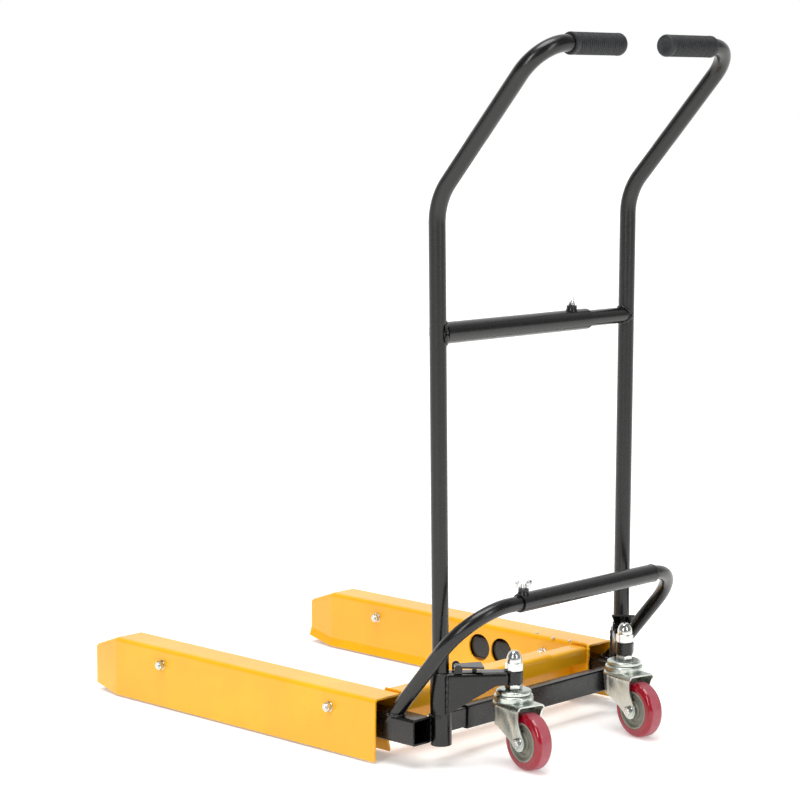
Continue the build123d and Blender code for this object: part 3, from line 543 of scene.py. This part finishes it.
fork_shell, nose_shell = fork_pressing()
both_sides("fork_pressing", fork_shell, "fork_enamel", "fork", ["arm"])
for side, sign in SIDES.items():
    cut_windows(bpy.data.objects[f"{side}_fork_pressing"], sign)
both_sides("nose_plate", nose_shell, "fork_enamel", "fork")


def beam_shell(inset, start_x, end_x):
    """Channel outline, rear flange short and front flange long, carried across the machine."""
    rear, front, top = 188 - inset - 1.5, 148 + inset + 1.5, 99 - inset - 1.5
    chain = rounded_path([(rear, 70), (rear, top), (front, top), (front, 39)], [5.0, 5.0], [8, 8, 16], 7)
    tangent = unit(np.gradient(chain, axis=0))
    square = np.stack([-tangent[:, 1], tangent[:, 0]], -1) * 1.5
    outline = np.concatenate([chain - square, (chain + square)[::-1]])
    x = np.linspace(start_x, end_x, 90)
    points = np.empty((len(x), len(outline), 3))
    points[..., 0] = x[:, None]
    points[..., 1:] = outline
    sag = 0.22 * np.sin(x / 37)[:, None] * np.ones(len(outline))
    points[..., 2] += np.where(points[..., 2] > 90, sag * 0.6, 0)
    points[..., 1] += np.where(points[..., 2] < 88, sag, 0)
    return skin(points, capped=True)


piece("beam_outer_pressing", beam_shell(0, 221.8, -129), "fork_enamel", "left_fork", ["beam_outer"])
piece("beam_inner_pressing", beam_shell(3.4, -221.8, 60), "fork_enamel", "right_fork", ["beam_inner"])

beam_welds = together(
    weld_bead([(221.5, y, 99.2) for y in np.linspace(152, 184, 20)], 5.0, 2.0),
    weld_bead([(221.5, 188.4, z) for z in np.linspace(73, 95, 16)], 5.0, 2.0, seed=2.0),
)
both_sides("beam_welds", beam_welds, "fork_enamel", "fork")


def round_head(centre, axis, radius):
    """Low round head with a shallow skirt."""
    angle = np.linspace(0, np.pi / 2, 9)
    dome = np.stack([radius * np.cos(angle), 0.6 + 1.8 * np.sin(angle)], -1)
    return turned([(0, -0.5), (radius + 0.9, -0.5), (radius + 0.9, 0.4), (radius, 0.7), *dome], centre, axis, 40)


# small heads near the inner edge of the right fork's top; their kind and their places are a guess
rivet_places = ((-231, 72), (-222, 114), (-226, 146))
fork_rivets = together(*[round_head((x, y, FORK_TOP - 0.1), UP, 2.2) for x, y in rivet_places])
piece("right_fork_rivets", fork_rivets, "bright_zinc", "right_fork")


def fork_bolt(y):
    """Washer, nut and a short end of thread on both sides of a fork, on one shank."""
    shells = [turned([(0, -29), (4, -29), (4, 29), (0, 29)], (FORK_X, y, BOLT_Z), X_AXIS, 32)]
    for side in (-1, 1):
        face = np.array([FORK_X + side * 30.0, y, BOLT_Z])
        out = X_AXIS * side
        washer = [(4, -0.6), (7.6, -0.6), (8, -0.2), (8, 1.2), (7.6, 1.6), (4, 1.6)]
        shells += [
            turned(washer, face, out, 48, closed=True),
            hexagon_nut(face + out * 1.6, out, 13.0, 6.5, 4.0, spin=0.3),
            screw_thread(face + out * 1.6, out, 3.95, 9.4),
        ]
    return together(*shells)


both_sides("pivot_bolt_set", fork_bolt(BOLT_Y[0]), "bright_zinc", "fork", ["pivot_bolt"])
both_sides("front_bolt_set", fork_bolt(BOLT_Y[1]), "bright_zinc", "fork", ["front_bolt"])


def front_roller():
    """Rounded drum with a shallow groove round each face."""
    outline = rounded_path([(6.1, -15), (28, -15), (28, 15), (6.1, 15)], [2.5, 2.5], [12, 4, 12], 6)
    radius = outline[:, 0]
    groove = 0.8 * np.exp(-(((radius - 15) / 3.0) ** 2))
    height = outline[:, 1]
    outline = np.stack([radius, height - np.sign(height) * groove * (np.abs(height) > 14)], -1)
    return turned(outline, (FORK_X, BOLT_Y[1], 28), X_AXIS, 72, closed=True)


both_sides("front_roller", front_roller(), "roller_nylon", "roller", ["roller"])

# ---- push frame: side tubes, sleeves, bars ----
tube_path = np.stack([np.full(40, 247.5), np.linspace(-90, 252, 40), np.full(40, 56.0)], -1)
both_sides("side_tube_section", hollow(rectangle(40, 40, 4.5), rectangle(34, 34, 2.0), tube_path, UP),
           "frame_enamel", "frame", ["side_tube"])

sleeve_axis = unit(UPRIGHT_LEAN)
sleeve_low = upright_at(32.0)
sleeve_profile = [(12.9, 0), (15.2, 0), (16, 0.8), (16, 109), (15.2, 110), (12.9, 110)]
both_sides("sleeve_tube", turned(sleeve_profile, sleeve_low, sleeve_axis, 64, closed=True),
           "frame_enamel", "frame", ["sleeve"])

upright_path = rounded_path(
    [upright_at(60.0), upright_at(838.0), (229, HANDLE_Y, HANDLE_Z), (60, HANDLE_Y, HANDLE_Z)],
    [90.0, 55.0], [60, 22, 12], 26)
both_sides("upright_tube", hollow(circle(TUBE_RADIUS, 56), circle(TUBE_BORE, 56), upright_path, (0.55, -0.6, 0.35)),
           "frame_enamel", "frame", ["upright"])


def ribbed_grip():
    """Sleeve with rings 4.4 mm apart between two plain collars, closed by a dished round end."""
    along = np.linspace(62, 159, 280)
    ribs = 15.35 + 0.75 * np.clip(1.6 * np.cos((along - 62) * 2 * np.pi / 4.4), -1, 1)
    body = np.stack([ribs, along], -1)
    closed_end = [(0, 55.0), (6.5, 55.0), (9.5, 54.2), (11.5, 53.0), (13.6, 53.2), (15.4, 54.6), (16.3, 56.6),
                  (16.3, 60.4), (15.9, 61.4)]
    open_end = [(15.9, 160), (16.3, 161), (16.3, 165), (15.6, 166.7), (14.2, 167), (12.6, 167), (12.6, 144), (0, 144)]
    return turned([*closed_end, *body, *open_end], (0, HANDLE_Y, HANDLE_Z), X_AXIS, 72)


both_sides("ribbed_grip", ribbed_grip(), "grip_rubber", "frame", ["grip"])

bar_x, bar_y, _ = upright_at(CROSSBAR_Z)


def straight_path(start, end, count=24):
    """Even points from one end to the other."""
    start, end = np.asarray(start, float), np.asarray(end, float)
    return start + np.linspace(0, 1, count)[:, None] * (end - start)


def weld_nut(x, y, tube_z, tube_radius):
    """Round nut sunk on a tube, with a fillet of weld at its foot."""
    profile = [(4.1, -2.5), (9.6, -2.5), (9.2, -0.6), (8.3, 1.2), (8.0, 2.4), (8.0, 6.4), (7.4, 7.0), (4.1, 7.0)]
    return turned(profile, (x, y, tube_z + tube_radius), UP, 48, closed=True)


crossbar_fat = together(
    hollow(circle(CROSSBAR_RADIUS), circle(12.9),
           straight_path((bar_x - 9, bar_y, CROSSBAR_Z), (-120, bar_y, CROSSBAR_Z)), UP, rim=0.8),
    weld_nut(CROSSBAR_SCREW_X, bar_y, CROSSBAR_Z, CROSSBAR_RADIUS))
piece("crossbar_outer_tube", crossbar_fat, "frame_enamel", "left_frame", ["crossbar_outer"])
crossbar_thin = hollow(circle(TUBE_RADIUS), circle(TUBE_BORE),
                       straight_path((9 - bar_x, bar_y, CROSSBAR_Z), (60, bar_y, CROSSBAR_Z)), UP)
piece("crossbar_inner_tube", crossbar_thin, "frame_enamel", "right_frame", ["crossbar_inner"])


def saddle(radius, side, lift=0.6, count=72):
    """Line where a crossbar of that radius meets an upright: out to the upright's skin, at the bar's angle."""
    angle = np.linspace(0, 2 * np.pi, count)
    y, z = (radius + lift) * np.cos(angle), (radius + lift) * np.sin(angle)
    reach = np.sqrt(np.clip((TUBE_RADIUS + lift) ** 2 - y ** 2, 4.0, None))
    centre = np.array([bar_x, bar_y, CROSSBAR_Z])
    points = np.stack([centre[0] - reach + UPRIGHT_LEAN[0] * z, centre[1] + y, centre[2] + z], -1)
    return points * np.array([side, 1, 1])


piece("crossbar_outer_weld", weld_bead(saddle(CROSSBAR_RADIUS, 1), 5.2, 2.2), "frame_enamel", "left_frame")
piece("crossbar_inner_weld", weld_bead(saddle(TUBE_RADIUS, -1), 5.0, 2.2, seed=1.0), "frame_enamel", "right_frame")



def lower_bar(outer, inner, start_x, end_x):
    """Rectangular tube, one outline inside the other, carried straight across the machine."""
    path = straight_path((start_x, LOWER_BAR_Y, LOWER_BAR_Z), (end_x, LOWER_BAR_Y, LOWER_BAR_Z))
    return hollow(outer, inner, path, (0, 1, 0))


piece("lower_bar_outer_tube", lower_bar(rectangle(20, 36, 3.0), rectangle(15, 31, 1.2), -208, 138),
      "frame_enamel", "right_frame", ["lower_bar_outer"])
piece("lower_bar_inner_tube", lower_bar(rectangle(14.2, 30.2, 2.0), rectangle(10.2, 26.2, 0.8), 208, -60),
      "frame_enamel", "left_frame", ["lower_bar_inner"])

# ---- foot lever ----
lever_slope = (LEVER_Z - 76) / (LEVER_Y - 205)
lever_foot = np.array([LEVER_X, 205 - 9, 76 - 9 * lever_slope])


def lever_path(end_x):
    """Up from the side tube, round one bend and across towards the other side."""
    return rounded_path([lever_foot, (LEVER_X, LEVER_Y, LEVER_Z), (end_x, LEVER_Y, LEVER_Z)], [85.0], [30, 30], 30)


lever_section = (circle(11), circle(9))
lever_reference = (0.4, -0.6, 0.5)
piece("lever_tube_left", hollow(*lever_section, lever_path(-40), lever_reference),
      "frame_enamel", "left_frame", ["pedal_tube_left"])
piece("lever_tube_right", mirrored(hollow(*lever_section, lever_path(152), lever_reference)),
      "frame_enamel", "right_frame", ["pedal_tube_right"])
lever_sleeve = together(
    hollow(circle(LEVER_SLEEVE_RADIUS), circle(11.4),
           straight_path((-172, LEVER_Y, LEVER_Z), (148, LEVER_Y, LEVER_Z), 40), UP, rim=0.8),
    weld_nut(LEVER_SCREW_X, LEVER_Y, LEVER_Z, LEVER_SLEEVE_RADIUS))
piece("lever_sleeve_tube", lever_sleeve, "frame_enamel", "right_frame", ["pedal_sleeve"])
ring_angle = np.linspace(0, 2 * np.pi, 60)
sleeve_seam = np.stack([
    np.full(60, -172.6), LEVER_Y + 12.2 * np.cos(ring_angle), LEVER_Z + 12.2 * np.sin(ring_angle)], -1)
piece("lever_sleeve_weld", weld_bead(sleeve_seam, 4.0, 2.0), "frame_enamel", "right_frame")

foot_ring = np.stack([
    LEVER_X + 11.8 * np.cos(ring_angle), 205 + 16.6 * np.sin(ring_angle), np.full(60, 76.4)], -1)


def sleeve_ring(height, radius=16.6, start=0.0, end=2 * np.pi, count=60):
    """Part of a ring round the sleeve."""
    angle = np.linspace(start, end, count)
    centre = upright_at(height)
    return np.stack([
        centre[0] + radius * np.cos(angle), centre[1] + radius * np.sin(angle), np.full(count, height)], -1)


seam_left = [(227.0, 250.5 + 0.012 * (60 - z), z) for z in np.linspace(38, 75, 20)]
frame_welds = together(
    weld_bead(foot_ring, 4.6, 2.2),
    weld_bead(seam_left, 5.0, 2.4, seed=0.7),
    weld_bead(sleeve_ring(76.6, 16.8, -0.9, 0.75, 24), 4.4, 2.0, seed=1.4),
    weld_bead([(203.0, 246.4, z) for z in np.linspace(39, 73, 20)], 4.6, 2.2, seed=2.2),
    weld_bead([(x, 244.5, 74.2) for x in np.linspace(197, 206, 10)], 4.0, 2.0, seed=2.9),
)
both_sides("frame_welds", frame_welds, "frame_enamel", "frame")

# ---- gussets, collars and latch tabs ----
gusset_along = unit(np.array([133.0 - 215.0, 330.6 - 260.0, 0.0]))
gusset_across = np.cross(gusset_along, UP)
gusset_length = np.hypot(82.0, 70.6)


def gusset_shell():
    """Inverted channel from the sleeve to the stem collar: its walls get shorter evenly towards the collar."""
    def chain(bottom):
        """Both faces of the channel's sheet, with walls that end at a height."""
        top = GUSSET_TOP - 1.5
        corners = [(-13.5, bottom), (-13.5, top), (13.5, top), (13.5, bottom)]
        middle = rounded_path(corners, [4.0, 4.0], [12, 8, 12], 7)
        tangent = unit(np.gradient(middle, axis=0))
        square = np.stack([-tangent[:, 1], tangent[:, 0]], -1) * 1.5
        return np.concatenate([middle + square, (middle - square)[::-1]])
    s = np.linspace(6.0, gusset_length - 12.4, 40)
    share = np.clip(s / (gusset_length - 28), 0, 1)[:, None, None]
    outline = chain(76.0) + (chain(123.0) - chain(76.0)) * share
    origin = np.array([215.0, 260.0, 0.0]) + s[:, None] * gusset_along
    return skin(carried(outline, origin, np.tile(gusset_across, (40, 1)), np.tile(UP, (40, 1))), capped=True)


both_sides("gusset_pressing", gusset_shell(), "frame_enamel", "frame", ["gusset"])
collar_profile = [(8.2, 123), (12.9, 123), (13.5, 123.8), (13.5, 141.2), (12.9, 142), (8.2, 142)]
both_sides("stem_collar_ring", turned(collar_profile, (*STEM, 0), UP, 56, closed=True),
           "frame_enamel", "frame", ["stem_collar"])


def gusset_point(along, across, height):
    """A point by its place along and across the gusset."""
    return np.array([215.0, 260.0, 0.0]) + gusset_along * along + gusset_across * across + UP * height




def gusset_weld_beads():
    """A bead up each wall at the sleeve and at the collar, and an arc over the collar's top."""
    sleeve_beads, collar_beads = [], []
    for side in (-1, 1):
        at_sleeve = [gusset_point(6.5, side * 15.3, z) for z in np.linspace(80, 139, 30)]
        at_collar = [gusset_point(gusset_length - 12.6, side * 13.0, z) for z in np.linspace(125, 140, 14)]
        sleeve_beads.append(weld_bead(at_sleeve, 5.2, 2.6, seed=side))
        collar_beads.append(weld_bead(at_collar, 4.0, 2.2, seed=side))
    over_collar = [gusset_point(gusset_length - 13.8 * np.cos(a), 13.8 * np.sin(a), GUSSET_TOP + 0.2)
                   for a in np.linspace(-1.1, 1.1, 30)]
    return together(*sleeve_beads, *collar_beads, weld_bead(over_collar, 3.6, 1.6))


gusset_welds = gusset_weld_beads()
both_sides("gusset_welds", gusset_welds, "frame_enamel", "frame")

# this pin lies inside the wider pin of the CAD tab, so it doesn't show
tab_pin_profile = [(0, 0), (2.6, 0), (3.2, -0.6), (3.2, -4.4), (2.6, -5.2), (0, -5.2)]
tab_pin = turned(tab_pin_profile, gusset_point(49, 0, 148.2), UP, 32)
piece("left_tab_pin", tab_pin, "bright_zinc", "left_latch_tab")

# ---- wing screws ----

def wing_screw(x, y, tube_z, tube_radius, tip_z, turn):
    """Threaded shank, a waisted hub and two blades that widen outwards."""
    hub_z = tube_z + tube_radius + 7.4
    hub = [(0, 0), (4.4, 0), (5.2, 0.8), (4.6, 3.0), (4.2, 5.0), (3.6, 6.2), (0, 6.6)]
    shells = [turned(hub, (x, y, hub_z), UP, 40), screw_thread((x, y, tip_z), UP, 3.9, hub_z - tip_z + 0.9, 1.25)]
    angle = np.linspace(0, 2 * np.pi, 36, endpoint=False)
    blade = np.stack([
        9.2 + (5.0 + 0.9 * np.sin(angle)) * np.cos(angle),
        5.9 + 4.9 * np.sin(angle) + 0.18 * 5 * np.cos(angle)], -1)
    for side in (-1, 1):
        facing = np.array([np.cos(turn), np.sin(turn), 0.0]) * side
        thick = np.array([-1.35, -1.0, 1.0, 1.35])
        scale = np.array([0.9, 1.0, 1.0, 0.9])[:, None, None]
        centre = np.array([9.2, 5.9])
        rings = (blade - centre) * scale + centre
        origin = np.array([x, y, hub_z]) + thick[:, None] * np.cross(facing, UP)
        shells.append(skin(carried(rings, origin, np.tile(facing, (4, 1)), np.tile(UP, (4, 1))), capped=True))
    return together(*shells)


piece("handle_wing_screw_set", wing_screw(CROSSBAR_SCREW_X, bar_y, CROSSBAR_Z, CROSSBAR_RADIUS, 656.9, 0.5),
      "bright_zinc", "handle_wing_screw", ["handle_wing_screw"])
piece("lever_wing_screw_set", wing_screw(LEVER_SCREW_X, LEVER_Y, LEVER_Z, LEVER_SLEEVE_RADIUS, 260.4, -0.35),
      "bright_zinc", "pedal_wing_screw", ["pedal_wing_screw"])


# ---- casters ----
def caster_stem_shell():
    """Threaded stem, king pin and the domed upper race."""
    race_corners = [(6.5, 107.4), (26.5, 107.4), (26.5, 113.0), (22.0, 115.0), (8.0, 115.0)]
    race = rounded_path(race_corners, [1.2, 2.4, 4.0], [10, 4, 4, 6], 6)
    pin = [(0, 89), (8.4, 89), (9, 89.6), (9, 94.0), (8.2, 94.6), (6, 94.6), (6, 108), (8, 108), (8, 158), (0, 158)]
    return together(turned(race, (*STEM, 0), UP, 80, closed=True), turned(pin, (*STEM, 0), UP, 48))


def stem_nut_shell():
    """Jam nut under the gusset's collar, and the cap nut with its hexagon skirt and dome."""
    angle = np.linspace(0, np.pi / 2, 16)
    dome = np.stack([11.4 * np.cos(angle) ** 0.8, 157.5 + 15.5 * np.sin(angle)], -1)
    return together(
        hexagon_nut((*STEM, 115.2), UP, 23.6, 7.6, 8.0, spin=0.2),
        hexagon_nut((*STEM, 142.2), UP, 23.6, 13.2, 8.0, spin=0.55),
        turned([(0, 154.6), (11.2, 154.6), (11.4, 155.4), *dome], (*STEM, 0), UP, 56),
    )


both_sides("swivel_stem", caster_stem_shell(), "zinc_sheet", "frame", ["caster_stem"])
both_sides("stem_nut_pair", stem_nut_shell(), "bright_zinc", "frame", ["stem_nuts"])


def trail_points(points):
    """Points given along the trail, across it and up, moved to the left caster."""
    points = np.asarray(points, float)
    return np.array([*STEM, 0.0]) + points[..., :1] * TRAIL + points[..., 1:2] * ACROSS + points[..., 2:] * UP


def yoke_shell():
    """Drawn fork: a closed round front, two legs that narrow to the axle, and a top that the legs bend into.

    One column runs from the middle of the top, over the bend and down a wall; the columns go round the plan from the
    rear edge of one leg, past the round front, to the rear edge of the other.
    """
    half, foot_half, bend, top = 25.0, 20.0, 7.0, 98.0
    front, rear_edge, front_low = -11.0, 43.0, 57.0
    count_leg, count_front = 30, 26
    leg_top = np.linspace(rear_edge, front, count_leg)
    turn = np.linspace(np.pi / 2, -np.pi / 2, count_front + 2)[1:-1]
    plan = np.concatenate([
        np.stack([leg_top, np.full(count_leg, half)], -1),
        np.stack([front - half * np.cos(turn), half * np.sin(turn)], -1),
        np.stack([leg_top[::-1], np.full(count_leg, -half)], -1)])
    inward = np.concatenate([
        np.tile([0.0, -1.0], (count_leg, 1)),
        np.stack([np.cos(turn), -np.sin(turn)], -1),
        np.tile([0.0, 1.0], (count_leg, 1))])
    # bottom line of a leg: up the rear of the axle boss, round under it and along the slant to the front
    boss = np.linspace(np.radians(28), np.radians(-148), 20)
    boss_x, boss_z = CASTER_TRAIL + 13.2 * np.cos(boss), WHEEL_Z + 13.2 * np.sin(boss)
    slant = np.linspace(0, 1, count_leg - 19)[1:]
    low_x = np.concatenate([boss_x, boss_x[-1] + (front - boss_x[-1]) * slant])
    low_z = np.concatenate([boss_z, boss_z[-1] + (front_low - boss_z[-1]) * slant ** 0.9])
    front_z = np.full(count_front, front_low) + 4 * np.cos(turn)
    bottom = np.concatenate([
        np.stack([low_x, np.full(count_leg, foot_half), low_z], -1),
        np.stack([front - (half - 1.5) * np.cos(turn), foot_half * np.sin(turn), front_z], -1),
        np.stack([low_x[::-1], np.full(count_leg, -foot_half), low_z[::-1]], -1)])
    arc = np.linspace(0, np.pi / 2, 7)
    over = plan + inward * bend
    spine = np.stack([np.clip(plan[:, 0], front, rear_edge), np.zeros(len(plan)), np.full(len(plan), top)], -1)
    rows = [spine]
    for a in arc:
        height = np.full((len(plan), 1), top - bend + bend * np.cos(a))
        rows.append(np.concatenate([over - inward * bend * np.sin(a), height], -1))
    wall_top = rows[-1]
    on_leg = np.abs(wall_top[:, 1]) > half - 0.1
    rear = np.clip((wall_top[:, 0] - 18) / 25, 0, 1)
    for share in np.linspace(0, 1, 22)[1:]:
        wall = wall_top + (bottom - wall_top) * share
        # the rear edge of the leg is hollow
        wall[:, 0] -= 6.5 * np.sin(np.pi * share ** 0.8) * rear
        # a shallow flute down each leg parts the flat rear of the leg from its round front
        flute = np.exp(-(((wall_top[:, 0] - 9) / 7) ** 2)) * np.sin(np.pi * np.clip(share * 1.1, 0, 1))
        wall[:, 1] -= np.sign(wall[:, 1]) * 1.6 * flute * on_leg
        # the legs draw in faster near the bend than near the axle
        squeeze = (half - foot_half) * (share ** 0.55 - share)
        wall[:, 1] -= np.sign(wall[:, 1]) * squeeze * on_leg
        rows.append(wall)
    return skin(trail_points(np.stack(rows)), ring_cols=False)


def race_shell():
    """Lower race: a cup pressed out of the fork's top, with a rounded lip."""
    cup = rounded_path([(6.2, 97.0), (29.5, 97.0), (29.5, 107.0), (23.0, 107.0), (23.0, 104.0), (6.2, 104.0)],
                       [1.5, 2.6, 1.0, 1.0], [8, 5, 4, 3, 6], 6)
    return turned(cup, (*STEM, 0), UP, 80, closed=True)


wheel_centre = trail_points((CASTER_TRAIL, 0, WHEEL_Z))


def axle_shell():
    """Axle with a chamfered hexagon head and washer on each side."""
    shells = [turned([(0, -19.5), (5, -19.5), (5, 19.5), (0, 19.5)], wheel_centre, ACROSS, 32)]
    for side in (-1, 1):
        face = wheel_centre + ACROSS * side * 20.0
        out = ACROSS * side
        washer = [(4.5, -0.4), (8.6, -0.4), (9.0, 0), (9.0, 1.0), (8.6, 1.4), (4.5, 1.4)]
        cap = [(0, 0), (4.6, 0), (4.6, 6.2), (3.8, 7.0), (0, 7.0)]
        shells += [
            turned(washer, face, out, 48, closed=True),
            hexagon_nut(face + out * 1.2, out, 13.0, 5.0, 4.5, spin=0.15),
            turned(cap, face - out * 0.6, out, 32),
        ]
    return together(*shells)


def tyre_outline():
    """Section of the tyre: flat flank, wide round shoulder and a nearly flat tread."""
    return rounded_path([(29.9, 14.0), (43.0, 14.0), (43.0, -14.0), (29.9, -14.0)], [8.5, 8.5], [6, 10, 6], 14)


def hub_outline():
    """Section of the hub: rim, a stepped recess with one raised ring, and the boss round the bush."""
    rim = [(30.0, 13.4), (29.0, 14.2), (27.2, 14.2), (26.4, 13.4), (25.6, 9.6), (24.6, 8.8)]
    raised_ring = [(21.6, 8.8), (20.8, 9.8), (19.4, 9.8), (18.6, 8.6)]
    boss = [(15.2, 8.4), (14.2, 9.4), (13.9, 12.6), (13.0, 13.4), (9.6, 13.4), (9.0, 12.8)]
    one_face = rim + raised_ring + boss
    return one_face + [(r, -h) for r, h in one_face[::-1]]


def caster_pair(name, shell, slot, body, stands_for=()):
    """A caster piece for both stems; both casters trail the same way."""
    made = []
    for side, sign in SIDES.items():
        moved = (shell[0] + X_AXIS * (sign - 1) * STEM[0], shell[1])
        replaced = [f"{side}_{node}" for node in stands_for]
        made.append(piece(f"{side}_{name}", moved, slot, f"{side}_{body}", replaced))
    return made


for yoke in caster_pair("yoke_pressing", yoke_shell(), "zinc_sheet", "caster", ["caster_yoke"]):
    wall = yoke.modifiers.new("sheet", "SOLIDIFY")
    wall.thickness, wall.offset = 2.6 * MM, -1
    edge = yoke.modifiers.new("edge", "BEVEL")
    edge.width, edge.segments, edge.limit_method, edge.angle_limit = 0.6 * MM, 2, "ANGLE", np.radians(50)
caster_pair("lower_race", race_shell(), "zinc_sheet", "caster")
caster_pair("axle_set", axle_shell(), "bright_zinc", "caster", ["caster_axle"])
caster_pair("moulded_hub", turned(hub_outline(), wheel_centre, ACROSS, 96, closed=True),
            "hub_plastic", "caster_wheel", ["wheel_hub"])
tyres = caster_pair("cast_tyre", turned(tyre_outline(), wheel_centre, ACROSS, 128, closed=True),
                    "red_polyurethane", "caster_wheel", ["wheel_tyre"])
for tyre, sign in zip(tyres, SIDES.values()):
    centre = wheel_centre + X_AXIS * (sign - 1) * STEM[0]
    spots = np.empty(len(tyre.data.vertices) * 3)
    tyre.data.vertices.foreach_get("co", spots)
    offset = spots.reshape(-1, 3) / MM - centre
    across = offset @ ACROSS
    radius = np.linalg.norm(offset - across[:, None] * ACROSS, axis=1)
    worn = np.clip((radius - 41.9) / 0.8, 0, 1) * np.clip((9.5 - np.abs(across)) / 2.5, 0, 1)
    tyre.data.attributes.new("tread", "FLOAT", "POINT").data.foreach_set("value", worn.astype(np.float32))


# ---- CAD nodes that stay take the finish of their slot ----
slot_of = {part["node"]: part["material_slot"] for part in frame["record"]["subparts"]}
for node, shape in frame["nodes"].items():
    shape.data.materials.clear()
    shape.data.materials.append(MATERIALS[slot_of[node]])

# ---- floor, light and camera ----
studio = bpy.data.materials.new("pale_floor")
studio.use_nodes = True
pale = studio.node_tree.nodes["Principled BSDF"]
pale.inputs["Base Color"].default_value = linear("#F6F5F3")
pale.inputs["Roughness"].default_value = 0.75
pale.inputs["Specular IOR Level"].default_value = 0.1
pale.inputs["Emission Color"].default_value = (1.0, 1.0, 1.0, 1.0)
pale.inputs["Emission Strength"].default_value = 0.3
floor_mesh = bpy.data.meshes.new("floor")
floor_mesh.from_pydata([(-30, -30, 0), (30, -30, 0), (30, 30, 0), (-30, 30, 0)], [], [(0, 1, 2, 3)])
floor_mesh.materials.append(studio)
floor = bpy.data.objects.new("floor", floor_mesh)
bpy.context.scene.collection.objects.link(floor)

world = bpy.data.worlds.new("studio")
bpy.context.scene.world = world
world.use_nodes = True
# a bright wall stands behind the machine as seen from the camera, and the room in front of it is dim;
# what the camera sees directly is plain white
sky_tree = world.node_tree
direction = add_node(sky_tree, "ShaderNodeTexCoord").outputs["Generated"]
towards = add_node(sky_tree, "ShaderNodeVectorMath", {"operation": "DOT_PRODUCT"}, {
    0: direction, 1: (-0.73, -0.68, 0.0)}).outputs["Value"]
backdrop = spread(sky_tree, towards, 0.1, 0.8, 0.22, 1.0)
seen = add_node(sky_tree, "ShaderNodeLightPath").outputs["Is Camera Ray"]
strength = add_node(sky_tree, "ShaderNodeMath", {"operation": "MAXIMUM"}, {0: backdrop, 1: seen}).outputs[0]
sky_tree.links.new(strength, sky_tree.nodes["Background"].inputs["Strength"])
sky_tree.nodes["Background"].inputs["Color"].default_value = (1.0, 1.0, 1.0, 1.0)

sun = bpy.data.lights.new("overcast", "SUN")
sun.energy, sun.angle = 2.0, np.radians(40.0)
high = bpy.data.objects.new("overcast", sun)
high.rotation_euler = (0.0, np.radians(8.0), 0.0)
bpy.context.scene.collection.objects.link(high)


def soft_box(name, place, target, size, power, warmth=(1.0, 1.0, 1.0)):
    """Area light that faces a point."""
    light = bpy.data.lights.new(name, "AREA")
    light.shape, light.size, light.size_y = "RECTANGLE", size[0], size[1]
    light.energy, light.color = power, warmth
    lamp = bpy.data.objects.new(name, light)
    lamp.location = place
    lamp.rotation_euler = (Vector(target) - Vector(place)).to_track_quat("-Z", "Y").to_euler()
    bpy.context.scene.collection.objects.link(lamp)


soft_box("overhead", (0.3, 0.4, 3.6), (0, 0, 0.2), (2.6, 2.6), 20)
soft_box("key", (3.2, 1.0, 2.0), (0, 0, 0.4), (0.7, 2.2), 38)
soft_box("rim", (0.4, 3.4, 1.8), (0, 0, 0.4), (0.5, 2.2), 20)

view = bpy.data.cameras.new("camera")
view.lens, view.sensor_width = 111.39, 36.0
camera = bpy.data.objects.new("camera", view)
turn, tilt, lean = np.radians([132.95, 7.34, 0.46])
ahead = np.array([-np.sin(turn) * np.cos(tilt), np.cos(turn) * np.cos(tilt), -np.sin(tilt)])
right = unit(np.cross(ahead, UP))
above = np.cross(right, ahead)
right, above = np.cos(lean) * right + np.sin(lean) * above, -np.sin(lean) * right + np.cos(lean) * above
eye = (2.8776, 2.6502, 1.00745)
camera.matrix_world = Matrix([[right[i], above[i], -ahead[i], eye[i]] for i in range(3)] + [[0, 0, 0, 1]])
bpy.context.scene.collection.objects.link(camera)
bpy.context.scene.camera = camera
bpy.context.scene.view_settings.view_transform = "Standard"
